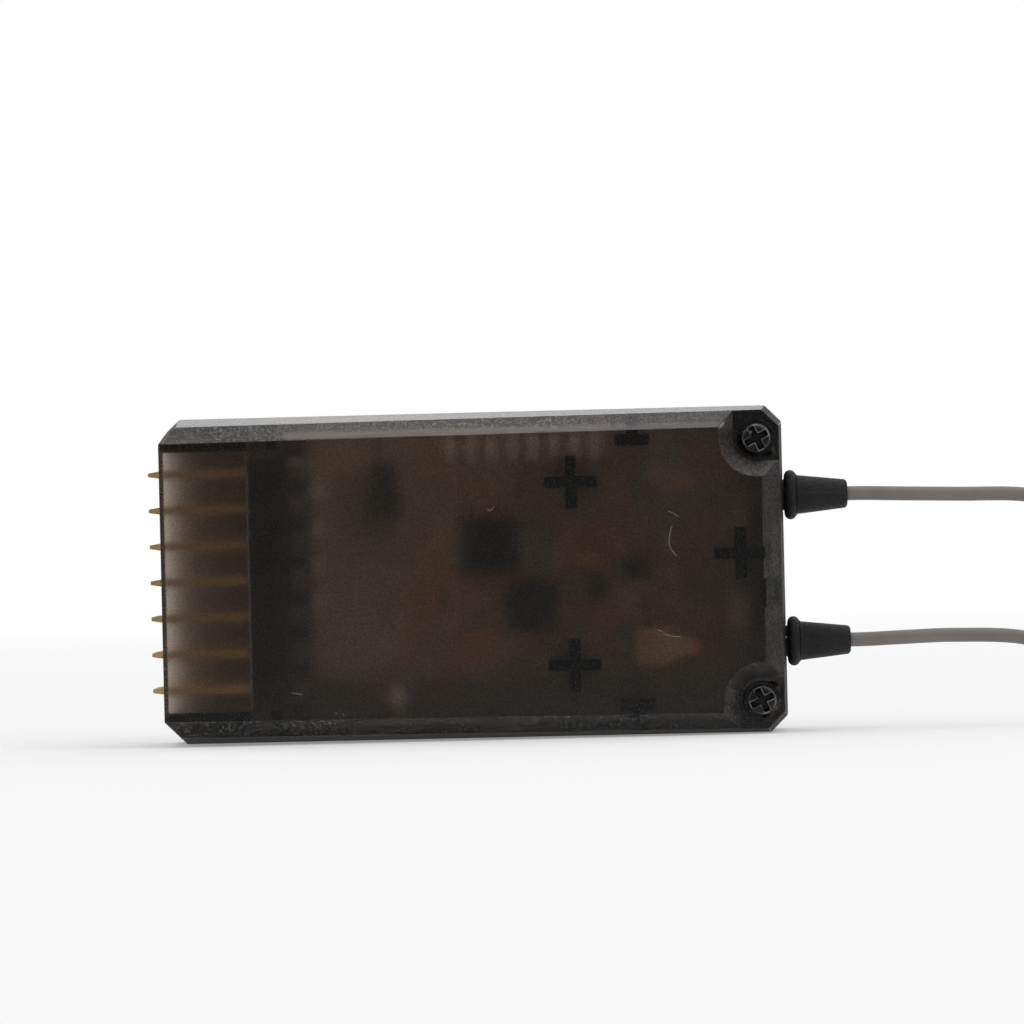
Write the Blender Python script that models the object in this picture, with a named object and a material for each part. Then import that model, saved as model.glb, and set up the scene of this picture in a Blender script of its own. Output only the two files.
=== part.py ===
# Radio control receiver standing on a long narrow side: a drafted, smoked back shell with screw pockets and
# cross posts, a front shell, a circuit board with its chips, a header of 21 pins in an open bay, and two
# coaxial antenna leads that leave through rubber boots.
# Metres. X runs from the pins to the leads, Y from the back shell to the front shell, Z up.
import math

import bmesh
import bpy
import numpy as np

MM = 0.001

# Gaps
FIT = 0.1 * MM  # between fitted hard pieces
SEAT = 0.3 * MM  # between a lead and what it meets

# Header and pins
COLUMNS = 7
ROWS = 3
PITCH = 2.54 * MM
PIN_WIDTH = 0.64 * MM
PIN_TIP_WIDTH = 0.26 * MM
PIN_TIP_TAPER = 1.2 * MM
PIN_TAIL_TAPER = 0.4 * MM
PIN_STANDOUT = 0.93 * MM  # of the tips past the end of the case
TAIL_LENGTH = 1.2 * MM  # of a pin behind the connector board
BLOCK_THICK = 2.0 * MM
BLOCK_NOTCH = 0.3 * MM
CONNECTOR_BOARD_THICK = 0.8 * MM
TAIL_HOLE = 1.1 * MM

# Case
BAY_DEPTH = 6.08 * MM  # from the open end to the header block
PLUG_ROOM = 0.26 * MM  # beyond the outer columns
PLUG_COVER_ROOM = 0.49 * MM  # beyond the outer rows
BAY_WALL = 2.4 * MM
BAY_FACE_WALL = 1.7 * MM
MOUTH = 0.25 * MM  # lead-in round the open end
FACE_WALL = 1.2 * MM
SIDE_WALL = 0.8 * MM
END_WALL = 0.9 * MM
FACE_BEVEL = 1.17 * MM
FRONT_BEVEL = 0.8 * MM
CORNER_CUT = 1.17 * MM
DRAFT = 0.1  # lean of the back shell's sides, for each unit of depth
PARTING_AT_BAY = 7.6 * MM  # depth of the parting line at the open end
RIB_OFFSET = 1.36 * MM  # of the locating ribs from the block's face
RIB_THICK = 0.8 * MM

# Circuit board
BOARD_LENGTH = 31.0 * MM
BOARD_THICK = 1.0 * MM
BOARD_LIFT = 0.3 * MM  # of its middle from the middle row of pins
BOARD_SIDE_GAP = 0.45 * MM
BOARD_END_GAP = 1.68 * MM

# Case screws, their pockets and the corner posts that they join
SCREW_FROM_END = 1.93 * MM
SCREW_FROM_SIDE = 2.35 * MM
HEAD_WIDTH = 2.05 * MM
HEAD_HEIGHT = 0.85 * MM
SHANK_WIDTH = 1.2 * MM
SHANK_LENGTH = 6.4 * MM
SHANK_END_WIDTH = 0.3 * MM
DOME_FLAT = 0.62  # share of the head's radius that stays flat
DOME_FALL = 0.22  # share of the head's height that its rounded rim takes
DRIVE_WIDTH = 0.46 * MM
DRIVE_LENGTH = 1.6 * MM
DRIVE_DEPTH = 0.5 * MM
DRIVE_TURN = 27.0  # degrees from the case's sides
COUNTERBORE_ROOM = 0.3 * MM
COUNTERBORE_DEPTH = 0.3 * MM
POCKET_FLOOR_RADIUS = 1.6 * MM
POCKET_SLOPE_RUN = 1.1 * MM  # how far the pocket's slope spreads from its floor to the face
POCKET_WALL = 0.8 * MM
CORNER_POST_RADIUS = 1.75 * MM

# Cross posts that press on the board, as places from the board's lead end and the case's middle
POST_ARM = 1.85 * MM
POST_THICK = 0.8 * MM
POST_PAIR_FROM_END = 12.45 * MM
POST_PAIR_SPREAD = 6.43 * MM
END_POST_FROM_END = 0.63 * MM
END_POST_RISE = 1.15 * MM
HALF_POST_FROM_END = 8.07 * MM
HALF_POST_ARM = 1.2 * MM
HALF_POST_FROM_WALL = 1.45 * MM
LATCH_BAR = (0.8 * MM, 2.06 * MM)
LATCH_BAR_LOW = 1.66 * MM  # below the case's middle
SUPPORT_RADIUS = 1.2 * MM

# Antenna leads and boots
LEAD_SPACING = 10.34 * MM
LEAD_WIDTH = 1.0 * MM
LEAD_LENGTH = 120.0 * MM
BOOT_NECK_WIDTH = 2.2 * MM
BOOT_INNER_WIDTH = 2.9 * MM
BOOT_INNER_THICK = 0.5 * MM
BOOT_FLANGE_WIDTH = 3.5 * MM
BOOT_FLANGE_THICK = 0.85 * MM
BOOT_CONE_WIDTH = 2.75 * MM
BOOT_END_WIDTH = 2.05 * MM
BOOT_CONE_LENGTH = 3.6 * MM
BOOT_ROUND = 0.3 * MM
BORE_ROOM = 0.08 * MM
LEAD_IN_BOOT = 1.0 * MM  # how deep the free lead starts inside the boot
TAIL_ON_BOARD = 2.4 * MM  # of the inner coax along the board
TIP_LENGTH = 31.0 * MM
TIP_WIDTH = 0.7 * MM
COIL_WIDTH = 11.0 * MM  # across the middle of the turns
LEAD_STEP = 2.2  # length of a tube's stretches, in widths of the tube

# Places worked out from the sizes above
BLOCK_HEIGHT = COLUMNS * PITCH
BLOCK_DEPTH = ROWS * PITCH
BAY_HEIGHT = BLOCK_HEIGHT + 2 * PLUG_ROOM
BAY_GAUGE = BLOCK_DEPTH + 2 * PLUG_COVER_ROOM
CASE_HEIGHT = BAY_HEIGHT + 2 * BAY_WALL
CASE_THICK = BAY_GAUGE + 2 * BAY_FACE_WALL
HEADER_STACK = BLOCK_THICK + CONNECTOR_BOARD_THICK + TAIL_LENGTH + 2 * FIT
CASE_LENGTH = BAY_DEPTH + HEADER_STACK + BOARD_LENGTH + BOARD_END_GAP + END_WALL
BOOT_STANDOUT = FIT + BOOT_FLANGE_THICK + BOOT_CONE_LENGTH
OPEN_END = PIN_STANDOUT - (PIN_STANDOUT + CASE_LENGTH + BOOT_STANDOUT) / 2
LEAD_END = OPEN_END + CASE_LENGTH
MIDDLE = CASE_HEIGHT / 2
NEAR = -CASE_THICK / 2
FAR = CASE_THICK / 2
SHOULDER = NEAR + FACE_BEVEL
BLOCK_FACE = OPEN_END + BAY_DEPTH
CONNECTOR_BOARD_FACE = BLOCK_FACE + BLOCK_THICK + FIT
BOARD_START = BLOCK_FACE + HEADER_STACK
BOARD_END = BOARD_START + BOARD_LENGTH
FIRST_ROW = -(ROWS - 1) * PITCH / 2
BOARD_NEAR = -BOARD_LIFT - BOARD_THICK / 2
BOARD_FAR = BOARD_NEAR + BOARD_THICK
LEAD_Y = BOARD_NEAR - FIT - LEAD_WIDTH / 2
PARTING_START = NEAR + PARTING_AT_BAY
PARTING_END = LEAD_Y  # the boots lie on the parting line
SCREW_X = LEAD_END - SCREW_FROM_END
SCREW_SPREAD = CASE_HEIGHT / 2 - SCREW_FROM_SIDE
BOOT_MOUTH = LEAD_END + BOOT_STANDOUT
PAST = 1.0 * MM  # how far a cutter runs past what it cuts

# Pieces on the near side of the board: name, material, place along the board as a share of its length, place
# above the case's middle, size along X and Z, height off the board, turn in degrees
NEAR_PARTS = (
    ("processor_chip", "chip", 0.413, 2.13, 4.0, 4.0, 0.9, 0),
    ("radio_chip", "chip", 0.505, -2.32, 3.4, 3.4, 0.85, 0),
    ("voltage_regulator", "chip", 0.177, 6.1, 2.9, 4.5, 1.3, 0),
    ("crystal", "can", 0.749, 0.25, 2.0, 1.6, 0.7, 0),
    ("power_inductor", "chip", 0.657, -1.15, 1.3, 1.3, 0.9, 40),
    ("tantalum_capacitor", "tantalum", 0.813, -5.3, 4.6, 2.8, 1.9, 0),
    ("amber_capacitor_1", "ceramic", 0.637, 1.0, 1.8, 1.2, 0.9, 0),
    ("amber_capacitor_2", "ceramic", 0.273, -1.7, 1.2, 2.0, 0.9, 0),
    ("amber_capacitor_3", "ceramic", 0.386, -4.6, 2.0, 1.2, 0.9, 0),
    ("status_light", "light", 0.194, -8.46, 1.6, 1.5, 0.8, 0),
)
FILTER_PARTS = 8
FILTER_PITCH = 1.46 * MM
FILTER_SIZE = (0.8 * MM, 0.9 * MM)
FILTER_HEIGHT = 0.6 * MM
FILTER_FROM_HALF_POST = 0.96 * MM
FILTER_FROM_POST_PAIR = 0.12 * MM
CHIP_CHAMFER = 0.12  # of a board part's upper edges, as a share of its least size

MATERIALS = {
    "smoked": ((0.035, 0.03, 0.028), 0.5, 0.0),
    "black_plastic": ((0.02, 0.02, 0.021), 0.5, 0.0),
    "gold": ((0.82, 0.58, 0.24), 0.3, 1.0),
    "board": ((0.16, 0.075, 0.04), 0.5, 0.0),
    "screw": ((0.06, 0.06, 0.065), 0.35, 1.0),
    "rubber": ((0.025, 0.025, 0.026), 0.7, 0.0),
    "coax": ((0.19, 0.165, 0.16), 0.5, 0.0),
    "core": ((0.85, 0.84, 0.8), 0.45, 0.0),
    "chip": ((0.018, 0.018, 0.02), 0.5, 0.0),
    "can": ((0.62, 0.6, 0.56), 0.3, 1.0),
    "tantalum": ((0.75, 0.48, 0.22), 0.5, 0.0),
    "ceramic": ((0.5, 0.26, 0.11), 0.5, 0.0),
    "light": ((0.8, 0.78, 0.72), 0.4, 0.0),
}


def clear_scene():
    for obj in list(bpy.data.objects):
        bpy.data.objects.remove(obj, do_unlink=True)


def material(name):
    found = bpy.data.materials.get(name)
    if found:
        return found
    colour, roughness, metallic = MATERIALS[name]
    made = bpy.data.materials.new(name)
    made.use_nodes = True
    shader = made.node_tree.nodes["Principled BSDF"]
    shader.inputs["Base Color"].default_value = (*colour, 1.0)
    shader.inputs["Roughness"].default_value = roughness
    shader.inputs["Metallic"].default_value = metallic
    made.diffuse_color = (*colour, 1.0)
    return made


def add_object(name, bm, finish=None, round_angle=None):
    """Puts a bmesh into the scene with its faces pointing out. Without a finish it is a cutter."""
    bmesh.ops.recalc_face_normals(bm, faces=bm.faces)
    mesh = bpy.data.meshes.new(name)
    bm.to_mesh(mesh)
    bm.free()
    obj = bpy.data.objects.new(name, mesh)
    bpy.context.collection.objects.link(obj)
    if finish:
        mesh.materials.append(material(finish))
    else:
        obj.hide_render = True
        obj.display_type = "WIRE"
    if round_angle:
        mesh.shade_smooth()
        mesh.set_sharp_from_angle(angle=math.radians(round_angle))
    return obj


def cut(target, cutter):
    modifier = target.modifiers.new("cut_" + cutter.name, "BOOLEAN")
    modifier.operation = "DIFFERENCE"
    modifier.solver = "EXACT"
    modifier.object = cutter
    return target


def hull(name, points, finish=None):
    """The convex solid round a set of corners."""
    bm = bmesh.new()
    for p in points:
        bm.verts.new(p)
    made = bmesh.ops.convex_hull(bm, input=bm.verts)
    loose = [v for v in made["geom_interior"] if isinstance(v, bmesh.types.BMVert)]
    bmesh.ops.delete(bm, geom=loose, context="VERTS")
    bmesh.ops.dissolve_limit(bm, angle_limit=0.001, verts=bm.verts, edges=bm.edges)
    return add_object(name, bm, finish)


def prism(name, outline, low, high, axis="Y", finish=None):
    """An outline carried from low to high along Y, where it is (x, z) points, or X, where it is (y, z)."""
    bm = bmesh.new()
    ends = []
    for at in (low, high):
        if axis == "Y":
            ends.append([bm.verts.new((a, at, b)) for a, b in outline])
        else:
            ends.append([bm.verts.new((at, a, b)) for a, b in outline])
    count = len(outline)
    bm.faces.new(ends[0])
    bm.faces.new(list(reversed(ends[1])))
    for i in range(count):
        j = (i + 1) % count
        bm.faces.new((ends[0][i], ends[0][j], ends[1][j], ends[1][i]))
    return add_object(name, bm, finish)


def turned(name, profile, finish=None, sides=32, axis="X", place=(0, 0, 0)):
    """A closed profile of (along, radius) points spun round an axis."""
    bm = bmesh.new()
    rings = []
    for along, radius in profile:
        ring = []
        for k in range(sides if radius > 0 else 1):
            turn = 2 * math.pi * k / sides
            a, b = radius * math.cos(turn), radius * math.sin(turn)
            offset = {"X": (along, a, b), "Y": (a, along, b), "Z": (a, b, along)}[axis]
            ring.append(bm.verts.new([p + o for p, o in zip(place, offset)]))
        rings.append(ring)
    hollow = profile[0][1] > 0 and profile[-1][1] > 0
    for first, second in zip(rings, rings[1:] + ([rings[0]] if hollow else [])):
        for k in range(sides):
            n = (k + 1) % sides
            corners = [first[k % len(first)], first[n % len(first)], second[n % len(second)],
                       second[k % len(second)]]
            distinct = [v for i, v in enumerate(corners) if v not in corners[:i]]
            if len(distinct) > 2:
                bm.faces.new(distinct)
    return add_object(name, bm, finish, round_angle=35 if finish else None)


def cylinder(name, place, axis, low, high, radius, sides=24):
    return turned(name, [(low, 0), (low, radius), (high, radius), (high, 0)], None, sides, axis, place)


def rectangle(a0, a1, b0, b1):
    return [(a0, b0), (a1, b0), (a1, b1), (a0, b1)]


def parting(x):
    """Depth coordinate of the parting line, which slants from the open end to the lead end."""
    return PARTING_START + (PARTING_END - PARTING_START) * (x - OPEN_END) / CASE_LENGTH


def back_half_height(x, y):
    return CASE_HEIGHT / 2 - DRAFT * (parting(x) - y)


def back_end(y):
    return LEAD_END - DRAFT * (PARTING_END - y)


def octagon(x0, x1, cut_leg, half, depth):
    """Corners of a section of the case with 45 degree corner cuts; half and depth are functions of x."""
    places = ((x0, cut_leg), (x0 + cut_leg, 0), (x1 - cut_leg, 0), (x1, cut_leg))
    return [(x, depth(x), MIDDLE + side * (half(x) - drop)) for x, drop in places for side in (-1, 1)]


def inner_cut(wall):
    return CORNER_CUT - wall * (2 - math.sqrt(2))


def back_shell_form():
    end = back_end(SHOULDER)
    face = [
        (x, NEAR, MIDDLE + side * (back_half_height(x, SHOULDER) - FACE_BEVEL))
        for x in (OPEN_END, end - FACE_BEVEL)
        for side in (-1, 1)
    ]
    shoulder = octagon(OPEN_END, end, CORNER_CUT, lambda x: back_half_height(x, SHOULDER), lambda x: SHOULDER)
    rim = octagon(OPEN_END, LEAD_END, CORNER_CUT, lambda x: CASE_HEIGHT / 2, parting)
    return hull("back_shell", face + shoulder + rim, "smoked")


def back_cavity():
    """The room behind the header block, which follows the walls and the bevel at a constant thickness."""
    inner_face = NEAR + FACE_WALL
    slope = math.sqrt(2)
    knee = NEAR + FACE_BEVEL + SIDE_WALL * (slope - 1)
    bevel_shift = FACE_WALL - FACE_BEVEL
    end = back_end(SHOULDER) + bevel_shift - END_WALL * slope
    face = [
        (x, inner_face, MIDDLE + side * (back_half_height(x, SHOULDER) + bevel_shift - SIDE_WALL * slope))
        for x in (BLOCK_FACE, end)
        for side in (-1, 1)
    ]
    leg = inner_cut(SIDE_WALL)
    near = octagon(
        BLOCK_FACE,
        back_end(knee) - END_WALL,
        leg,
        lambda x: back_half_height(x, knee) - SIDE_WALL,
        lambda x: knee,
    )
    rim = octagon(
        BLOCK_FACE,
        LEAD_END - END_WALL + DRAFT * PAST,
        leg,
        lambda x: CASE_HEIGHT / 2 - SIDE_WALL + DRAFT * PAST,
        lambda x: parting(x) + PAST,
    )
    return hull("back_cavity", face + near + rim)


def corner_zone(name, side, levels):
    """The region round a case screw, open towards the corner. Each level gives its depth and radius."""
    z = MIDDLE + side * SCREW_SPREAD
    reach = SCREW_FROM_END + SCREW_FROM_SIDE + PAST
    points = []
    for y, radius in levels:
        for k in range(9):
            turn = math.pi + math.pi / 2 * k / 8
            points.append((SCREW_X + radius * math.cos(turn), y, z + side * radius * math.sin(turn)))
        points.append((SCREW_X + reach, y, z - side * radius))
        points.append((SCREW_X - radius, y, z + side * reach))
        points.append((SCREW_X + reach, y, z + side * reach))
    return hull(name, points)


def cross_outline(x, z, arm, thick):
    half = thick / 2
    return [
        (x - arm, z - half), (x - half, z - half), (x - half, z - arm), (x + half, z - arm),
        (x + half, z - half), (x + arm, z - half), (x + arm, z + half), (x + half, z + half),
        (x + half, z + arm), (x - half, z + arm), (x - half, z + half), (x - arm, z + half),
    ]


def half_cross_outline(x, side):
    """A cross post that has run into the side wall: a bar, with a stem to the wall."""
    wall = CASE_HEIGHT / 2
    bar = wall - SIDE_WALL - HALF_POST_FROM_WALL
    half = POST_THICK / 2
    points = [
        (x - HALF_POST_ARM, bar - half), (x + HALF_POST_ARM, bar - half), (x + HALF_POST_ARM, bar + half),
        (x + half, bar + half), (x + half, wall), (x - half, wall), (x - half, bar + half),
        (x - HALF_POST_ARM, bar + half),
    ]
    return [(a, MIDDLE + side * b) for a, b in points]


def bay_outline(cutter_name, y_low, y_high, extra=0.0):
    half = BAY_HEIGHT / 2 + extra
    outline = rectangle(OPEN_END - PAST, BLOCK_FACE + FIT, MIDDLE - half, MIDDLE + half)
    return prism(cutter_name, outline, y_low, y_high)


def mouth_cutter(name):
    """The lead-in chamfer round the open end, for both shells."""
    points = []
    for x, spread in ((OPEN_END - PAST, MOUTH + PAST), (OPEN_END + MOUTH, 0.0)):
        for sy in (-1, 1):
            for sz in (-1, 1):
                points.append((x, sy * (BAY_GAUGE / 2 + spread), MIDDLE + sz * (BAY_HEIGHT / 2 + spread)))
    return hull(name, points)


def boot_holes(target, tag):
    for side, where in ((1, "top"), (-1, "bottom")):
        place = (0, LEAD_Y, MIDDLE + side * LEAD_SPACING / 2)
        radius = BOOT_NECK_WIDTH / 2 + FIT
        start, end = LEAD_END - END_WALL - PAST, LEAD_END + PAST
        cut(target, cylinder(f"{tag}_boot_hole_{where}", place, "X", start, end, radius))


def back_shell():
    cavity = back_cavity()
    post_end = BOARD_NEAR - FIT
    for side, where in ((1, "top"), (-1, "bottom")):
        z = MIDDLE + side * POST_PAIR_SPREAD
        cross = cross_outline(BOARD_END - POST_PAIR_FROM_END, z, POST_ARM, POST_THICK)
        cut(cavity, prism(f"cross_post_{where}", cross, NEAR, post_end))
        half_post = half_cross_outline(BOARD_END - HALF_POST_FROM_END, side)
        cut(cavity, prism(f"half_post_{where}", half_post, NEAR, post_end))
        rib_x = BLOCK_FACE + RIB_OFFSET
        rib = rectangle(rib_x, rib_x + RIB_THICK, BAY_HEIGHT / 2, CASE_HEIGHT)
        rib = [(a, MIDDLE + side * b) for a, b in rib]
        cut(cavity, prism(f"locating_rib_{where}", rib, NEAR, BOARD_NEAR))
        slope = POCKET_SLOPE_RUN / FACE_BEVEL
        floor = SHOULDER + POCKET_WALL
        backing = POCKET_FLOOR_RADIUS + POCKET_WALL * (math.hypot(1, slope) - slope)
        depth = floor - NEAR
        levels = ((NEAR, backing + slope * depth), (floor, backing))
        cut(cavity, corner_zone(f"pocket_backing_{where}", side, levels))
        levels = ((NEAR, CORNER_POST_RADIUS), (FAR, CORNER_POST_RADIUS))
        cut(cavity, corner_zone(f"corner_post_back_{where}", side, levels))
    end_post = cross_outline(BOARD_END - END_POST_FROM_END, MIDDLE + END_POST_RISE, POST_ARM, POST_THICK)
    cut(cavity, prism("cross_post_end", end_post, NEAR, post_end))
    bar_x, bar_z = LEAD_END - END_WALL - FIT - LATCH_BAR[0], MIDDLE - LATCH_BAR_LOW
    bar = rectangle(bar_x, bar_x + LATCH_BAR[0], bar_z - LATCH_BAR[1] / 2, bar_z + LATCH_BAR[1] / 2)
    cut(cavity, prism("latch_bar", bar, NEAR, BOARD_NEAR))

    shell = back_shell_form()
    cut(shell, cavity)
    cut(shell, bay_outline("back_bay", -BAY_GAUGE / 2, BAY_GAUGE / 2))
    cut(shell, mouth_cutter("back_mouth"))
    for side, where in ((1, "top"), (-1, "bottom")):
        slope = POCKET_SLOPE_RUN / FACE_BEVEL
        brim = POCKET_FLOOR_RADIUS + slope * (FACE_BEVEL + PAST)
        levels = ((NEAR - PAST, brim), (SHOULDER, POCKET_FLOOR_RADIUS))
        cut(shell, corner_zone(f"screw_pocket_{where}", side, levels))
        place = (SCREW_X, 0, MIDDLE + side * SCREW_SPREAD)
        cut(shell, cylinder(f"counterbore_{where}", place, "Y", SHOULDER - PAST, SHOULDER + COUNTERBORE_DEPTH,
                            HEAD_WIDTH / 2 + COUNTERBORE_ROOM, 32))
        cut(shell, cylinder(f"screw_hole_{where}", place, "Y", NEAR - PAST, FAR, SHANK_WIDTH / 2 + FIT))
    boot_holes(shell, "back")
    return shell


def front_shell_form():
    rim = octagon(OPEN_END, LEAD_END, CORNER_CUT, lambda x: CASE_HEIGHT / 2, lambda x: parting(x) + FIT)
    edge = octagon(OPEN_END, LEAD_END, CORNER_CUT, lambda x: CASE_HEIGHT / 2, lambda x: FAR - FRONT_BEVEL)
    face = [
        (x, FAR, MIDDLE + side * (CASE_HEIGHT / 2 - FRONT_BEVEL))
        for x in (OPEN_END, LEAD_END - FRONT_BEVEL)
        for side in (-1, 1)
    ]
    return hull("front_shell", rim + edge + face, "smoked")


def front_shell():
    leg = inner_cut(SIDE_WALL)
    inside = [
        octagon(BLOCK_FACE, LEAD_END - END_WALL, leg, lambda x: CASE_HEIGHT / 2 - SIDE_WALL, depth)
        for depth in (lambda x: parting(x) - PAST, lambda x: FAR - FACE_WALL)
    ]
    cavity = hull("front_cavity", inside[0] + inside[1])
    for side, where in ((1, "top"), (-1, "bottom")):
        levels = ((NEAR, CORNER_POST_RADIUS), (FAR, CORNER_POST_RADIUS))
        cut(cavity, corner_zone(f"corner_post_front_{where}", side, levels))
        place = (BOARD_END - POST_PAIR_FROM_END, 0, MIDDLE + side * POST_PAIR_SPREAD)
        cut(cavity, cylinder(f"board_support_{where}", place, "Y", BOARD_FAR + FIT, FAR, SUPPORT_RADIUS, 20))
        rib_x = BLOCK_FACE + RIB_OFFSET
        rib = rectangle(rib_x, rib_x + RIB_THICK, BAY_HEIGHT / 2, CASE_HEIGHT)
        rib = [(a, MIDDLE + side * b) for a, b in rib]
        cut(cavity, prism(f"front_rib_{where}", rib, parting(rib_x) + FIT, FAR))
    shell = front_shell_form()
    cut(shell, cavity)
    cut(shell, bay_outline("front_bay", -BAY_GAUGE / 2, BAY_GAUGE / 2))
    cut(shell, mouth_cutter("front_mouth"))
    for side, where in ((1, "top"), (-1, "bottom")):
        place = (SCREW_X, 0, MIDDLE + side * SCREW_SPREAD)
        end = SHOULDER + COUNTERBORE_DEPTH + SHANK_LENGTH + 2 * FIT
        cut(shell, cylinder(f"pilot_hole_{where}", place, "Y", NEAR, end, SHANK_WIDTH / 2 + FIT))
    boot_holes(shell, "front")
    return shell


def pin_places():
    for row in range(ROWS):
        for column in range(COLUMNS):
            y = FIRST_ROW + row * PITCH
            z = MIDDLE + (COLUMNS - 1) * PITCH / 2 - column * PITCH
            yield f"pin_{'abc'[row % 3]}{column + 1}", y, z


def square(y, z, width):
    half = width / 2
    return [(y - half, z - half), (y + half, z - half), (y + half, z + half), (y - half, z + half)]


def pin(name, y, z):
    """A square pin, drawn to a point at both ends."""
    start, end = OPEN_END - PIN_STANDOUT, CONNECTOR_BOARD_FACE + CONNECTOR_BOARD_THICK + TAIL_LENGTH
    sections = (
        (start, PIN_TIP_WIDTH), (start + PIN_TIP_TAPER, PIN_WIDTH),
        (end - PIN_TAIL_TAPER, PIN_WIDTH), (end, PIN_TIP_WIDTH),
    )
    bm = bmesh.new()
    rings = [[bm.verts.new((x, a, b)) for a, b in square(y, z, width)] for x, width in sections]
    bm.faces.new(rings[0])
    bm.faces.new(list(reversed(rings[-1])))
    for first, second in zip(rings, rings[1:]):
        for k in range(4):
            n = (k + 1) % 4
            bm.faces.new((first[k], first[n], second[n], second[k]))
    return add_object(name, bm, "gold")


def header_outline():
    """The block's section: a notch stands between neighbouring pins all round its edge."""
    half_y, half_z = BLOCK_DEPTH / 2, BLOCK_HEIGHT / 2
    sides = ((-1, -1, COLUMNS, "z"), (-1, 1, ROWS, "y"), (1, 1, COLUMNS, "z"), (1, -1, ROWS, "y"))
    points = []
    for sy, sz, count, along in sides:
        for k in range(count):
            runs = [(k * PITCH + BLOCK_NOTCH, 0.0), ((k + 1) * PITCH - BLOCK_NOTCH, 0.0)]
            if k < count - 1:
                runs.append(((k + 1) * PITCH, BLOCK_NOTCH))
            for run, inset in runs:
                down_y, down_z = (inset, run) if along == "z" else (run, inset)
                points.append((sy * (half_y - down_y), MIDDLE + sz * (half_z - down_z)))
    return points


def header_and_pins():
    back = BLOCK_FACE + BLOCK_THICK
    block = prism("header_block", header_outline(), BLOCK_FACE, back, "X", "black_plastic")
    half_y, half_z = BLOCK_DEPTH / 2, BLOCK_HEIGHT / 2
    plate = rectangle(-half_y, half_y, MIDDLE - half_z, MIDDLE + half_z)
    start = CONNECTOR_BOARD_FACE
    board = prism("connector_board", plate, start, start + CONNECTOR_BOARD_THICK, "X", "board")
    for name, y, z in pin_places():
        passage = square(y, z, PIN_WIDTH + 2 * FIT)
        cut(block, prism("passage_" + name, passage, BLOCK_FACE - PAST, back + PAST, "X"))
        cut(board, cylinder("eye_" + name, (0, y, z), "X", start - PAST, start + CONNECTOR_BOARD_THICK + PAST,
                            TAIL_HOLE / 2, 12))
        pin(name, y, z)


def main_board():
    half = back_half_height(BOARD_START, BOARD_NEAR) - SIDE_WALL - BOARD_SIDE_GAP
    clear = CORNER_POST_RADIUS + SEAT
    notch_x, notch_z = SCREW_X - clear, SCREW_SPREAD - clear
    outline = [
        (BOARD_START, -half), (notch_x, -half), (notch_x, -notch_z), (BOARD_END, -notch_z),
        (BOARD_END, notch_z), (notch_x, notch_z), (notch_x, half), (BOARD_START, half),
    ]
    outline = [(x, MIDDLE + z) for x, z in outline]
    return prism("main_board", outline, BOARD_NEAR, BOARD_FAR, "Y", "board")


def chip(name, finish, x, z, size_x, size_z, height, turn=0.0):
    """A board part: a block whose upper edges are chamfered, turned about the board's normal."""
    chamfer = CHIP_CHAMFER * min(size_x, size_z, height)
    foot = BOARD_NEAR - FIT
    bm = bmesh.new()
    rings = []
    for up, inset in ((0, 0), (height - chamfer, 0), (height, chamfer)):
        ring = []
        for sx, sz in ((-1, -1), (1, -1), (1, 1), (-1, 1)):
            a, b = sx * (size_x / 2 - inset), sz * (size_z / 2 - inset)
            c, s = math.cos(math.radians(turn)), math.sin(math.radians(turn))
            ring.append(bm.verts.new((x + a * c - b * s, foot - up, z + a * s + b * c)))
        rings.append(ring)
    bm.faces.new(rings[0])
    bm.faces.new(list(reversed(rings[-1])))
    for first, second in zip(rings, rings[1:]):
        for k in range(4):
            n = (k + 1) % 4
            bm.faces.new((first[k], first[n], second[n], second[k]))
    return add_object(name, bm, finish)


def board_parts():
    for name, finish, share, rise, size_x, size_z, height, turn in NEAR_PARTS:
        x = BOARD_START + share * BOARD_LENGTH
        chip(name, finish, x, MIDDLE + rise * MM, size_x * MM, size_z * MM, height * MM, turn)
    last = BOARD_END - HALF_POST_FROM_END - HALF_POST_ARM - FILTER_FROM_HALF_POST - FILTER_SIZE[0] / 2
    z = MIDDLE + POST_PAIR_SPREAD + POST_ARM + FILTER_FROM_POST_PAIR + FILTER_SIZE[1] / 2
    for k in range(FILTER_PARTS):
        x = last - (FILTER_PARTS - 1 - k) * FILTER_PITCH
        chip(f"filter_part_{k + 1}", "light", x, z, *FILTER_SIZE, FILTER_HEIGHT)


def case_screw(side, where):
    """A pan head screw: its seat lies on the counterbore's floor, and its head has a cross recess."""
    seat = SHOULDER + COUNTERBORE_DEPTH - FIT
    head, shank = HEAD_WIDTH / 2, SHANK_WIDTH / 2
    top = seat - HEAD_HEIGHT
    fall, flat = DOME_FALL * HEAD_HEIGHT, DOME_FLAT * head
    quarter = np.radians(np.linspace(0, 90, 6))
    dome = [(top + fall * (1 - math.cos(t)), flat + (head - flat) * math.sin(t)) for t in quarter]
    end = seat + SHANK_LENGTH
    point = [(end - shank, shank), (end, SHANK_END_WIDTH / 2), (end, 0)]
    profile = [(top, 0)] + dome + [(seat, head), (seat, shank)] + point
    place = (SCREW_X, 0, MIDDLE + side * SCREW_SPREAD)
    screw = turned(f"case_screw_{where}", profile, "screw", 28, "Y", place)
    outline = cross_outline(0, 0, DRIVE_LENGTH / 2, DRIVE_WIDTH)
    lean = math.radians(DRIVE_TURN)
    c, s = math.cos(lean), math.sin(lean)
    turned_outline = [(place[0] + a * c - b * s, place[2] + a * s + b * c) for a, b in outline]
    cut(screw, prism(f"drive_{where}", turned_outline, top - PAST, top + DRIVE_DEPTH))
    return screw


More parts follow.
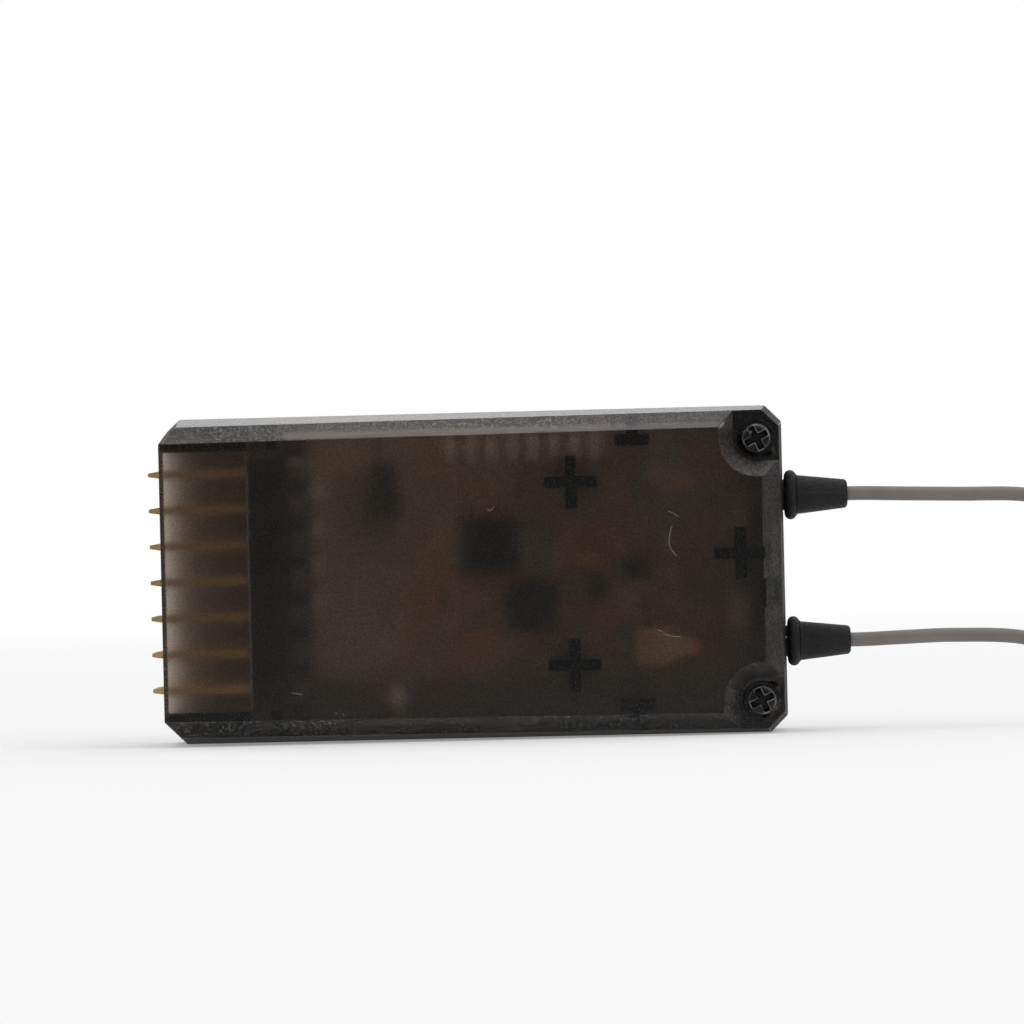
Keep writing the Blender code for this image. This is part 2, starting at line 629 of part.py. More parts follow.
def antenna_boot(side, where):
    """A rubber boot held in the end wall by two flanges, with a bore for its lead."""
    wall_in, wall_out = LEAD_END - END_WALL, LEAD_END
    bore = LEAD_WIDTH / 2 + BORE_ROOM
    neck, flange = BOOT_NECK_WIDTH / 2, BOOT_FLANGE_WIDTH / 2
    start = wall_out + FIT
    foot = start + BOOT_FLANGE_THICK
    lip = BOOT_FLANGE_THICK / 2
    edge = [
        (start + lip * (1 - math.cos(t)), flange - lip * (1 - math.sin(t)))
        for t in np.radians(np.linspace(0, 180, 9))
    ]
    end = foot + BOOT_CONE_LENGTH
    nose = [
        (end - BOOT_ROUND * (1 - math.sin(t)), BOOT_END_WIDTH / 2 - BOOT_ROUND * (1 - math.cos(t)))
        for t in np.radians(np.linspace(0, 90, 5))
    ]
    inner = wall_in - FIT - DRAFT * BOOT_INNER_WIDTH / 2
    inner_flange = [
        (inner - BOOT_INNER_THICK, bore), (inner - BOOT_INNER_THICK, BOOT_INNER_WIDTH / 2),
        (inner, BOOT_INNER_WIDTH / 2), (inner, neck),
    ]
    profile = inner_flange + [(start, neck)] + edge + [(foot, BOOT_CONE_WIDTH / 2)] + nose + [(end, bore)]
    place = (0, LEAD_Y, MIDDLE + side * LEAD_SPACING / 2)
    return turned(f"antenna_boot_{where}", profile, "rubber", 32, "X", place)


def smooth_route(points, step):
    """A centripetal curve through the route's points, read off about every step."""
    p = np.array(points, float)
    p = np.vstack([2 * p[0] - p[1], p, 2 * p[-1] - p[-2]])
    made = []
    for a, b, c, d in zip(p, p[1:], p[2:], p[3:]):
        knots = np.cumsum([0.0] + [np.linalg.norm(v - u) ** 0.5 for u, v in ((a, b), (b, c), (c, d))])
        t = np.linspace(knots[1], knots[2], 12, endpoint=False)[:, None]
        k0, k1, k2, k3 = knots
        ab = (k1 - t) / (k1 - k0) * a + (t - k0) / (k1 - k0) * b
        bc = (k2 - t) / (k2 - k1) * b + (t - k1) / (k2 - k1) * c
        cd = (k3 - t) / (k3 - k2) * c + (t - k2) / (k3 - k2) * d
        abc = (k2 - t) / (k2 - k0) * ab + (t - k0) / (k2 - k0) * bc
        bcd = (k3 - t) / (k3 - k1) * bc + (t - k1) / (k3 - k1) * cd
        made.append((k2 - t) / (k2 - k1) * abc + (t - k1) / (k2 - k1) * bcd)
    line = np.vstack(made + [p[-2][None]])
    along = np.concatenate([[0], np.cumsum(np.linalg.norm(np.diff(line, axis=0), axis=1))])
    at = np.linspace(0, along[-1], max(3, round(along[-1] / step) + 1))
    return np.stack([np.interp(at, along, line[:, k]) for k in range(3)], axis=1)


def tube(name, line, width, finish):
    curve = bpy.data.curves.new(name, "CURVE")
    curve.dimensions = "3D"
    curve.bevel_depth = width / 2
    curve.bevel_resolution = 2
    curve.use_fill_caps = True
    spline = curve.splines.new("POLY")
    spline.points.add(len(line) - 1)
    for point, place in zip(spline.points, line):
        point.co = (*place, 1.0)
    obj = bpy.data.objects.new(name, curve)
    bpy.context.collection.objects.link(obj)
    curve.materials.append(material(finish))
    return obj


# Places that the free leads pass, beyond their boots, in millimetres: from the boot's mouth along X, from the
# lead's axis along Y, and above the surface that the receiver stands on.
TOP_ROUTE = (
    (4.0, 0.0, 16.62), (8.0, 0.0, 16.5), (12.4, -0.05, 16.36), (16.5, -0.4, 15.6), (20.5, -1.1, 13.8),
    (24.5, -2.05, 10.9), (28.5, -3.05, 7.2), (32.5, -3.85, 3.6), (36.0, -4.2, 1.3),
)
BOTTOM_ROUTE = (
    (3.6, 0.0, 6.46), (7.3, 0.0, 6.53), (12.4, -0.15, 6.2), (15.8, -1.2, 4.9), (19.0, -2.9, 2.7),
    (21.8, -4.0, 1.05),
)
COIL_MIDDLE_Y = 0.9 * MM
BOTTOM_COIL_FROM_BOOT = 28.4 * MM
TOP_COIL_FROM_BOOT = 43.6 * MM


def lead_facts(route, coil_from_boot, side):
    """The free lead's points as far as its coil, with the coil's middle and radii."""
    start = (BOOT_MOUTH - LEAD_IN_BOOT, LEAD_Y, MIDDLE + side * LEAD_SPACING / 2)
    mouth = (BOOT_MOUTH + LEAD_WIDTH, LEAD_Y, start[2])
    places = [start, mouth] + [(BOOT_MOUTH + a * MM, LEAD_Y + b * MM, c * MM) for a, b, c in route]
    coil_x = BOOT_MOUTH + coil_from_boot
    straight = sum(math.dist(a, b) for a, b in zip(places, places[1:])) + coil_x - places[-1][0]
    turns = (LEAD_LENGTH - straight) / (math.pi * COIL_WIDTH)
    inner = COIL_WIDTH / 2 - turns * LEAD_WIDTH / 2 - LEAD_WIDTH / 2
    outer = COIL_WIDTH / 2 + turns * LEAD_WIDTH / 2 + LEAD_WIDTH / 2
    return places, (coil_x, COIL_MIDDLE_Y), inner, outer


def antenna_lead(side, where, route, coil_from_boot):
    places, middle, inner, outer = lead_facts(route, coil_from_boot, side)
    entry_y = middle[1] - outer + LEAD_WIDTH / 2
    reach = outer + LEAD_WIDTH / 2 + SEAT
    entry_x = middle[0] - math.sqrt(reach**2 - (outer - LEAD_WIDTH / 2) ** 2)
    places.append((entry_x, entry_y, LEAD_WIDTH / 2))
    tube(f"antenna_lead_{where}", smooth_route(places, LEAD_STEP * LEAD_WIDTH), LEAD_WIDTH, "coax")
    turned(
        f"lead_coil_{where}",
        [(0.0, inner), (0.0, outer), (LEAD_WIDTH, outer), (LEAD_WIDTH, inner)],
        "coax", 40, "Z", (*middle, 0.0),
    )
    first = inner - SEAT - TIP_WIDTH / 2
    drop = TIP_WIDTH + FIT
    turns = TIP_LENGTH / (2 * math.pi * (first - drop / 2 * TIP_LENGTH / (2 * math.pi * first)))
    steps = round(TIP_LENGTH / (LEAD_STEP * TIP_WIDTH))
    line = []
    for k in range(steps + 1):
        turn = turns * k / steps
        radius = first - drop * turn
        angle = 2 * math.pi * turn
        x, y = middle[0] + radius * math.cos(angle), middle[1] + radius * math.sin(angle)
        line.append((x, y, TIP_WIDTH / 2))
    tube(f"antenna_tip_{where}", line, TIP_WIDTH, "core")


def antenna_tail(side, where):
    """The stretch of coax inside the case, from the boot's bore to its joint on the board."""
    z = MIDDLE + side * LEAD_SPACING / 2
    start, end = BOARD_END - TAIL_ON_BOARD, BOOT_MOUTH - LEAD_IN_BOOT - SEAT
    line = [(x, LEAD_Y, z) for x in np.linspace(start, end, 5)]
    return tube(f"antenna_tail_{where}", line, LEAD_WIDTH, "coax")


def build():
    clear_scene()
    back_shell()
    front_shell()
    header_and_pins()
    main_board()
    board_parts()
    leads = ((1, "top", TOP_ROUTE, TOP_COIL_FROM_BOOT), (-1, "bottom", BOTTOM_ROUTE, BOTTOM_COIL_FROM_BOOT))
    for side, where, route, coil_from_boot in leads:
        case_screw(side, where)
        antenna_boot(side, where)
        antenna_tail(side, where)
        antenna_lead(side, where, route, coil_from_boot)


build()
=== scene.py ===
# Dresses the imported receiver: smoked case, gold pins, circuit board, screws, rubber boots and coax leads.
import math

import bmesh
import bpy
import numpy as np
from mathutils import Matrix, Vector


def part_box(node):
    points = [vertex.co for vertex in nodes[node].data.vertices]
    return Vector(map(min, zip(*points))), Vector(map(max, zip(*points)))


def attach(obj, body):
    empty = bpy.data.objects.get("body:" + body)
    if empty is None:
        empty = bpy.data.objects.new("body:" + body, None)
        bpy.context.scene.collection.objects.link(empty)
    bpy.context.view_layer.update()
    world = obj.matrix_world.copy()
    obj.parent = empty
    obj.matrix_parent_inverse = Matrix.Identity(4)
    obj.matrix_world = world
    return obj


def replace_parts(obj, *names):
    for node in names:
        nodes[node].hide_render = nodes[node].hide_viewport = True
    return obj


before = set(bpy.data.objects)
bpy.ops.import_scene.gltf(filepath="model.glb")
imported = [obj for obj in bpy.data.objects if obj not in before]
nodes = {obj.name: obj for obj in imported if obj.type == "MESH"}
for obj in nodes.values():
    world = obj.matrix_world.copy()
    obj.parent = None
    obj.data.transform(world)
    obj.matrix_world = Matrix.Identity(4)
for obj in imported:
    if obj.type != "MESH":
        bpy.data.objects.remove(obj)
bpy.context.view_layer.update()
mm = 0.001
print("frame loaded:", len(nodes), "nodes")


def boxOf(node):
    low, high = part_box(node)
    return np.array(low), np.array(high)


def pointsOf(mesh):
    place = np.empty(len(mesh.vertices) * 3, np.float32)
    mesh.vertices.foreach_get("co", place)
    return place.reshape(-1, 3)


caseLow = np.minimum(boxOf("back_shell")[0], boxOf("front_shell")[0])
caseHigh = np.maximum(boxOf("back_shell")[1], boxOf("front_shell")[1])
caseMiddle = (caseLow + caseHigh) / 2


# Camera: level, square on to the back shell, with the slight roll of the photograph
cameraSettings = {
    "distance": 450 * mm,  # from the lens to the back shell's face
    "sideways": 0.94 * mm,
    "height": 15.97 * mm,
    "rollDegrees": 1.38,
    "focalLength": 225.9,
    "sensorWidth": 36.0,
}


def placeCamera(settings):
    data = bpy.data.cameras.new("photoCamera")
    data.lens = settings["focalLength"]
    data.sensor_width = settings["sensorWidth"]
    data.clip_start = 0.01
    data.clip_end = 50
    camera = bpy.data.objects.new("photoCamera", data)
    bpy.context.scene.collection.objects.link(camera)
    camera.location = (settings["sideways"], caseLow[1] - settings["distance"], settings["height"])
    camera.rotation_euler = (math.pi / 2, math.radians(settings["rollDegrees"]), 0)
    bpy.context.scene.camera = camera


placeCamera(cameraSettings)


# Node groups and materials


def newGroup(name, inputs, outputs):
    group = bpy.data.node_groups.new(name, "ShaderNodeTree")
    for label, value in inputs.items():
        socket = group.interface.new_socket(label, in_out="INPUT", socket_type="NodeSocketFloat")
        socket.default_value = value
    for label in outputs:
        group.interface.new_socket(label, in_out="OUTPUT", socket_type="NodeSocketFloat")
    return group, group.nodes.new("NodeGroupInput"), group.nodes.new("NodeGroupOutput")


def addNode(tree, kind, settings=(), values=()):
    node = tree.nodes.new("ShaderNode" + kind)
    for key, value in dict(settings).items():
        setattr(node, key, value)
    for key, value in dict(values).items():
        node.inputs[key].default_value = value
    return node


def mapValue(tree, source, low, high, toLow=0.0, toHigh=1.0):
    node = addNode(tree, "MapRange", {"clamp": True},
                   {"From Min": low, "From Max": high, "To Min": toLow, "To Max": toHigh})
    tree.links.new(source, node.inputs["Value"])
    return node.outputs["Result"]


def arithmetic(tree, operation, first, second):
    node = addNode(tree, "Math", {"operation": operation})
    for socket, value in zip(node.inputs, (first, second)):
        if isinstance(value, (int, float)):
            socket.default_value = value
        else:
            tree.links.new(value, socket)
    return node.outputs[0]


def times(tree, first, second):
    return arithmetic(tree, "MULTIPLY", first, second)


def plus(tree, first, second):
    return arithmetic(tree, "ADD", first, second)


def objectPlace(tree):
    return addNode(tree, "TexCoord").outputs["Object"]


def splitAxes(tree, source):
    apart = addNode(tree, "SeparateXYZ")
    tree.links.new(source, apart.inputs[0])
    return apart.outputs


def marked(tree, name):
    return addNode(tree, "Attribute", {"attribute_name": name}).outputs["Fac"]


def newMaterial(name):
    material = bpy.data.materials.new(name)
    material.use_nodes = True
    return material, material.node_tree, material.node_tree.nodes["Principled BSDF"]


noiseSpan = (0.3, 0.7)  # most values of a noise lie between these
slowShare = 0.04  # scale of the slow noise, as a share of the fine one's
wearAndShineSpan = (0.35, 0.6)  # of the noise that breaks up the wear and the painted highlights


# Moulded grain: fine noise for the height of the texture, and a slower noise for patches of tone
def grainGroup():
    group, start, end = newGroup("mouldedGrain", {"Scale": 9000.0}, ("Height", "Tone"))
    place = objectPlace(group)
    fine = addNode(group, "TexNoise", (), {"Detail": 3.0, "Roughness": 0.6})
    slow = addNode(group, "TexNoise", (), {"Detail": 2.0})
    group.links.new(place, fine.inputs["Vector"])
    group.links.new(place, slow.inputs["Vector"])
    group.links.new(start.outputs["Scale"], fine.inputs["Scale"])
    group.links.new(times(group, start.outputs["Scale"], slowShare), slow.inputs["Scale"])
    group.links.new(fine.outputs["Fac"], end.inputs["Height"])
    group.links.new(mapValue(group, slow.outputs["Fac"], *noiseSpan), end.inputs["Tone"])
    return group


# Sparse specks: the middle of a cell, shown only in the few cells whose random value is low
def dustGroup():
    group, start, end = newGroup("dustSpecks", {"Scale": 900.0, "Amount": 0.08, "Size": 0.1}, ("Mask",))
    place = objectPlace(group)
    cells = addNode(group, "TexVoronoi", {"feature": "F1"})
    group.links.new(place, cells.inputs["Vector"])
    group.links.new(start.outputs["Scale"], cells.inputs["Scale"])
    chosen = addNode(group, "SeparateColor")
    group.links.new(cells.outputs["Color"], chosen.inputs["Color"])
    rare = arithmetic(group, "LESS_THAN", chosen.outputs[0], start.outputs["Amount"])
    near = arithmetic(group, "LESS_THAN", cells.outputs["Distance"], start.outputs["Size"])
    group.links.new(times(group, rare, near), end.inputs["Mask"])
    return group


# Worn edges and painted highlights on edges: the piece's attribute for both, broken up by noise
def wearAndShineGroup():
    group, start, end = newGroup("edgeWearAndShine", {"Scale": 1500.0, "Amount": 0.8}, ("Mask",))
    place = objectPlace(group)
    noise = addNode(group, "TexNoise", (), {"Detail": 4.0, "Roughness": 0.7})
    group.links.new(place, noise.inputs["Vector"])
    group.links.new(start.outputs["Scale"], noise.inputs["Scale"])
    broken = mapValue(group, noise.outputs["Fac"], *wearAndShineSpan)
    wornAndLit = times(group, marked(group, "wearAndShine"), broken)
    group.links.new(times(group, wornAndLit, start.outputs["Amount"]), end.inputs["Mask"])
    return group


# Fine streaks that run along X, as drawing or extruding leaves them: noise stretched along that axis
def streakGroup():
    group, start, end = newGroup("drawnStreaks", {"Across": 9000.0, "Along": 300.0}, ("Streak",))
    place = objectPlace(group)
    stretch = addNode(group, "CombineXYZ")
    group.links.new(start.outputs["Along"], stretch.inputs["X"])
    group.links.new(start.outputs["Across"], stretch.inputs["Y"])
    group.links.new(start.outputs["Across"], stretch.inputs["Z"])
    scaled = addNode(group, "VectorMath", {"operation": "MULTIPLY"})
    group.links.new(place, scaled.inputs[0])
    group.links.new(stretch.outputs[0], scaled.inputs[1])
    noise = addNode(group, "TexNoise", (), {"Scale": 1.0, "Detail": 2.0})
    group.links.new(scaled.outputs[0], noise.inputs["Vector"])
    group.links.new(noise.outputs["Fac"], end.inputs["Streak"])
    return group


groups = {"grain": grainGroup(), "dust": dustGroup(), "wearAndShine": wearAndShineGroup(), "streak": streakGroup()}


def useGroup(tree, name, **values):
    node = tree.nodes.new("ShaderNodeGroup")
    node.node_tree = groups[name]
    for key, value in values.items():
        node.inputs[key].default_value = value
    return node.outputs


def mixColour(tree, factor, first, second):
    node = addNode(tree, "Mix", {"data_type": "RGBA"})
    tree.links.new(factor, node.inputs["Factor"])
    for socket, value in zip((node.inputs[6], node.inputs[7]), (first, second)):
        if isinstance(value, tuple):
            socket.default_value = (*value, 1.0)
        else:
            tree.links.new(value, socket)
    return node.outputs[2]


def addBump(tree, shader, height, depth):
    bump = addNode(tree, "Bump", (), {"Distance": depth, "Strength": 1.0})
    tree.links.new(height, bump.inputs["Height"])
    tree.links.new(bump.outputs["Normal"], shader.inputs["Normal"])


streakSpan = (0.35, 0.65)  # of the streaks' noise
streakShare = 0.6


# A general finish: two tones in slow patches, grain in its bump, and dust, wear and painted edge
# highlights, or streaks where asked.
# A tip gives the places in X between which the colour turns to another
def finish(name, colour, patchColour, roughness, grainScale=9000.0, grainDepth=0.01 * mm, metallic=0.0,
           dust=0.0, dustColour=(0.5, 0.48, 0.45), wearAndShineColour=None, wearAndShineAmount=0.8, streaks=None, gloss=0.5,
           tip=None):
    material, tree, shader = newMaterial(name)
    grain = useGroup(tree, "grain", Scale=grainScale)
    tone = mixColour(tree, grain["Tone"], colour, patchColour)
    height = grain["Height"]
    if streaks:
        height = useGroup(tree, "streak", Across=streaks[0], Along=streaks[1])["Streak"]
        tone = mixColour(tree, mapValue(tree, height, *streakSpan, 0.0, streakShare), tone, colour)
    if wearAndShineColour:
        tone = mixColour(tree, useGroup(tree, "wearAndShine", Amount=wearAndShineAmount)["Mask"], tone, wearAndShineColour)
    if dust:
        tone = mixColour(tree, useGroup(tree, "dust", Amount=dust)["Mask"], tone, dustColour)
    if tip:
        x = splitAxes(tree, objectPlace(tree))["X"]
        tone = mixColour(tree, mapValue(tree, x, tip[0], tip[1]), tone, tip[2])
    tree.links.new(tone, shader.inputs["Base Color"])
    low, high = roughness
    tree.links.new(mapValue(tree, height, *noiseSpan, low, high), shader.inputs["Roughness"])
    shader.inputs["Metallic"].default_value = metallic
    shader.inputs["Specular IOR Level"].default_value = gloss
    addBump(tree, shader, height, grainDepth)
    return material


white = (1.0, 1.0, 1.0)
smokedSettings = {
    "tint": (1.0, 0.93, 0.86),  # what each wall lets through at its surfaces
    "hazyTint": (0.94, 0.88, 0.81),
    "grainTint": (0.64, 0.6, 0.56),  # in the pits of the moulded grain
    "pitSpan": (0.42, 0.6),  # of the grain's height, from pit to skin
    "smoke": (0.7, 0.65, 0.6),  # what stays of light after a stretch of plastic
    "smokeDensity": {"back": 1000.0, "front": 14000.0},  # stretches for each metre
    "index": 1.46,
    "outerRoughness": 0.25,
    "innerRoughness": 0.4,
    "bayRoughness": {"back": 0.1, "front": 0.3},  # added on the bay's walls
    "bevelTint": (0.95, 0.98, 1.0),  # on the outer bevels, which look grey and frosted
    "bevelPits": (0.42, 0.44, 0.46),
    "bevelSpan": (0.45, 0.58),  # of the specks' height, from pit to bright
    "bevelRoughness": 0.24,  # added there
    "speckScale": 6500.0,
    "speckSpan": (0.52, 0.62),  # of that height, where the specks shine
    "speckCoat": 0.8,
    "coatIndex": 2.2,
    "coatRoughness": 0.5,
    "footLine": (-0.1 * mm, 0.2 * mm),  # the painted highlight line, from the upper edge of the near face
    "footFade": (0.05 * mm, 0.28 * mm),  # below and above the line
    "footStart": (0.6 * mm, 0.8 * mm),  # along X from the header block
    "lineHighlightTint": (1.0, 0.94, 0.89),
    "footShine": 0.3,
    "endShade": (0.3, 0.3, 0.3),  # painted shade on the end walls and the lower bevel, which lie in shade
    "endRoughness": 0.4,
    "postTint": (0.06, 0.06, 0.07),  # the posts and bars inside let little light through
    "bayCoat": {"back": 0.0, "front": 1.0},  # the far wall of the bay shows the light from its mouth
    "bayPaintedLight": {"back": 0.6, "front": 0.0},  # painted light from the bay's mouth: share of the bay's inner walls that is free of pits
    "grainScale": 7000.0,
    "grainDepth": 0.008 * mm,
    "grainSwing": 0.06,  # of the roughness, both ways
    "swingSpan": (0.2, 0.8),
    "wearAndShineAmount": 0.75,
    "dust": {"Scale": 1300.0, "Amount": 0.05, "Size": 0.09},
}


# Mask of the painted highlight line: one in a thin strip along the upper edge of the near face that starts
# past the header
def footLine(tree, settings):
    axes = splitAxes(tree, objectPlace(tree))
    edge, blockEnd = faceTop(), boxOf("header_block")[1][0]
    low, high = edge + settings["footLine"][0], edge + settings["footLine"][1]
    fadeBelow, fadeAbove = settings["footFade"]
    rise = mapValue(tree, axes["Z"], low - fadeBelow, low)
    fall = mapValue(tree, axes["Z"], high, high + fadeAbove, 1.0, 0.0)
    start, full = settings["footStart"]
    along = mapValue(tree, axes["X"], blockEnd + start, blockEnd + full)
    return times(tree, times(tree, rise, fall), along)


onFace = 0.02 * mm  # how far from the near face a point may lie and still count as on it


# Height of the near face's upper edge: the highest point of the back shell that lies on that face
def faceTop():
    place = pointsOf(nodes["back_shell"].data)
    return float(place[place[:, 1] < caseLow[1] + onFace, 2].max())


# Smoked plastic: grained on its outer skin, hazier inside, and darker with the depth that light crosses
def smokedPlastic(name, settings, shell):
    material, tree, shader = newMaterial(name)
    shader.inputs["Transmission Weight"].default_value = 1.0
    shader.inputs["IOR"].default_value = settings["index"]
    shader.inputs["Coat IOR"].default_value = settings["coatIndex"]
    shader.inputs["Coat Roughness"].default_value = settings["coatRoughness"]
    labels = ("bevel", "endWall", "post", "bayWall", "outerSkin", "wearAndShine")
    marks = {label: marked(tree, label) for label in labels}

    # What light keeps at the surface
    grain = useGroup(tree, "grain", Scale=settings["grainScale"])
    tone = mixColour(tree, grain["Tone"], settings["tint"], settings["hazyTint"])
    raised = mapValue(tree, grain["Height"], *settings["pitSpan"])
    tone = mixColour(tree, raised, settings["grainTint"], tone)
    specks = useGroup(tree, "grain", Scale=settings["speckScale"])["Height"]
    bright = mapValue(tree, specks, *settings["bevelSpan"])
    frosted = mixColour(tree, bright, settings["bevelPits"], settings["bevelTint"])
    # Painted highlight: a lighter tint in a thin line along the upper edge of the near face, past the
    # header
    foot = times(tree, marks["bevel"], footLine(tree, settings))
    frosted = mixColour(tree, foot, frosted, settings["lineHighlightTint"])
    tone = mixColour(tree, marks["bevel"], tone, frosted)
    # Painted shade: the end walls and the faces that look down get a dark grey tint
    tone = mixColour(tree, marks["endWall"], tone, settings["endShade"])
    tone = mixColour(tree, marks["post"], tone, settings["postTint"])
    # Painted light from the bay's mouth: the bay's inner walls lose their darker pits and let more light
    # through
    clear = times(tree, marks["bayWall"], settings["bayPaintedLight"][shell])
    tone = mixColour(tree, clear, tone, settings["tint"])
    tone = mixColour(tree, useGroup(tree, "wearAndShine", Amount=settings["wearAndShineAmount"])["Mask"], tone, white)
    tone = mixColour(tree, useGroup(tree, "dust", **settings["dust"])["Mask"], tone, white)
    tree.links.new(tone, shader.inputs["Base Color"])

    # The coat shines in specks on the bevels, along the painted highlight line and on the bay's far wall
    shine = mapValue(tree, specks, *settings["speckSpan"], 0.0, settings["speckCoat"])
    shine = times(tree, marks["bevel"], shine)
    shine = arithmetic(tree, "MAXIMUM", shine, times(tree, foot, settings["footShine"]))
    shine = plus(tree, shine, times(tree, marks["bayWall"], settings["bayCoat"][shell]))
    tree.links.new(shine, shader.inputs["Coat Weight"])

    skin = marks["outerSkin"]
    rough = mapValue(tree, skin, 0.0, 1.0, settings["innerRoughness"], settings["outerRoughness"])
    added = {"bayWall": settings["bayRoughness"][shell], "bevel": settings["bevelRoughness"],
             "endWall": settings["endRoughness"]}
    for label, amount in added.items():
        rough = plus(tree, rough, times(tree, marks[label], amount))
    swing = settings["grainSwing"]
    varied = mapValue(tree, grain["Height"], *settings["swingSpan"], -swing, swing)
    tree.links.new(plus(tree, rough, varied), shader.inputs["Roughness"])

    flat = times(tree, skin, arithmetic(tree, "SUBTRACT", 1.0, marks["wearAndShine"]))
    addBump(tree, shader, times(tree, grain["Height"], flat), settings["grainDepth"])
    smoke = addNode(tree, "VolumeAbsorption", (), {"Color": (*settings["smoke"], 1.0),
                                                    "Density": settings["smokeDensity"][shell]})
    tree.links.new(smoke.outputs["Volume"], tree.nodes["Material Output"].inputs["Volume"])
    return material


boardSettings = {
    "orange": (0.4, 0.175, 0.05),  # bare laminate over copper
    "green": (0.19, 0.19, 0.12),
    "pale": (0.58, 0.47, 0.36),  # towards the pins
    "dark": (0.08, 0.078, 0.075),  # towards the leads and the lower edge
    "amber": (0.5, 0.22, 0.055),
    "tan": (0.8, 0.52, 0.27),
    "mossy": (0.24, 0.25, 0.17),
    "patchScale": 300.0,
    "blotchScale": 800.0,
    "darkStrip": (3.8, 5.4),  # in millimetres above the floor
    "stripShare": 0.85,
    "patchSpan": (0.45, 0.55),
    "blotchSpan": (0.47, 0.6),
    "blotchShare": 0.6,
    "paleShare": 0.6,  # at the end near the pins
    "darkShare": 0.6,  # at the end near the leads
    "darkReach": 9.0 * mm,
    "raggedness": 0.45,  # of the spots' outlines
    "spotFade": (0.6, 1.15),  # as shares of the spot's half width
    "grainScale": 3000.0,
    "grainDepth": 0.004 * mm,
    "roughness": (0.3, 0.5),
    # colour, middle in X and Z, half width and half height in millimetres, strength
    "spots": (
        ("amber", (-1.6, 6.9), (2.4, 2.2), 0.5), ("amber", (5.5, 13.6), (1.3, 1.9), 0.75),
        ("amber", (-5.0, 12.1), (1.1, 1.0), 0.5), ("amber", (8.8, 14.4), (1.6, 1.5), 0.4),
        ("amber", (-2.9, 17.8), (1.9, 1.3), 0.35), ("amber", (-10.9, 19.0), (1.3, 1.3), 0.3),
        ("amber", (6.9, 8.7), (1.7, 1.3), 0.35), ("mossy", (-10.3, 17.2), (1.4, 2.4), 0.6),
        ("mossy", (-7.9, 13.8), (2.1, 2.0), 0.5), ("mossy", (-8.3, 8.9), (1.5, 1.5), 0.3),
        ("mossy", (2.6, 17.4), (1.2, 1.8), 0.5), ("pale", (-12.8, 12.0), (1.1, 9.0), 0.6),
        ("pale", (-10.4, 9.6), (2.2, 3.6), 0.4), ("tan", (11.4, 18.3), (0.9, 0.5), 0.6),
        ("tan", (12.9, 17.8), (0.9, 0.45), 0.6), ("dark", (14.0, 10.9), (2.0, 2.2), 0.45),
        ("dark", (4.4, 10.8), (1.4, 1.3), 0.3), ("pale", (17.2, 15.2), (0.8, 1.5), 0.9),
        ("pale", (16.6, 13.4), (1.6, 2.6), 0.6), ("pale", (17.0, 8.2), (1.0, 1.6), 0.8),
    ),
}


# Distance from the spot's middle in X and Z, where one is the rim of an ellipse
def softSpot(tree, place, middle, half):
    moved = addNode(tree, "VectorMath", {"operation": "SUBTRACT"}, {1: (middle[0] * mm, 0, middle[1] * mm)})
    shares = (1 / (half[0] * mm), 0, 1 / (half[1] * mm))
    scaled = addNode(tree, "VectorMath", {"operation": "MULTIPLY"}, {1: shares})
    length = addNode(tree, "VectorMath", {"operation": "LENGTH"})
    tree.links.new(place, moved.inputs[0])
    tree.links.new(moved.outputs[0], scaled.inputs[0])
    tree.links.new(scaled.outputs[0], length.inputs[0])
    return length.outputs["Value"]


# Circuit board: orange and green patches from one noise, blotches from another, ragged spots where copper
# and parts show, and a dark lower edge and lead end
def boardFinish(name, settings):
    material, tree, shader = newMaterial(name)
    place = objectPlace(tree)
    axes = splitAxes(tree, place)
    noises = []
    for scale in (settings["patchScale"], settings["blotchScale"]):
        noise = addNode(tree, "TexNoise", (), {"Scale": scale, "Detail": 2.0, "Roughness": 0.5})
        tree.links.new(place, noise.inputs["Vector"])
        noises.append(noise.outputs["Fac"])
    low, high = boxOf("main_board")
    middle = (low[0] + high[0]) / 2
    patch = mapValue(tree, noises[0], *settings["patchSpan"])
    tone = mixColour(tree, patch, settings["green"], settings["orange"])
    blotch = mapValue(tree, noises[1], *settings["blotchSpan"], 0.0, settings["blotchShare"])
    tone = mixColour(tree, blotch, tone, settings["pale"])
    toPins = mapValue(tree, axes["X"], low[0], middle, settings["paleShare"], 0.0)
    tone = mixColour(tree, toPins, tone, settings["pale"])
    darkStart = high[0] - settings["darkReach"]
    toLeads = mapValue(tree, axes["X"], darkStart, high[0], 0.0, settings["darkShare"])
    tone = mixColour(tree, toLeads, tone, settings["dark"])
    ragged = mapValue(tree, noises[1], *noiseSpan, -settings["raggedness"], settings["raggedness"])
    for colour, centre, half, strength in settings["spots"]:
        away = plus(tree, softSpot(tree, place, centre, half), ragged)
        share = mapValue(tree, away, *settings["spotFade"], strength, 0.0)
        tone = mixColour(tree, share, tone, settings[colour])
    stripLow, stripHigh = settings["darkStrip"]
    strip = mapValue(tree, axes["Z"], stripLow * mm, stripHigh * mm, settings["stripShare"], 0.0)
    tone = mixColour(tree, strip, tone, settings["dark"])
    tree.links.new(tone, shader.inputs["Base Color"])
    grain = useGroup(tree, "grain", Scale=settings["grainScale"])
    rough = mapValue(tree, grain["Height"], *noiseSpan, *settings["roughness"])
    tree.links.new(rough, shader.inputs["Roughness"])
    addBump(tree, shader, grain["Height"], settings["grainDepth"])
    return material


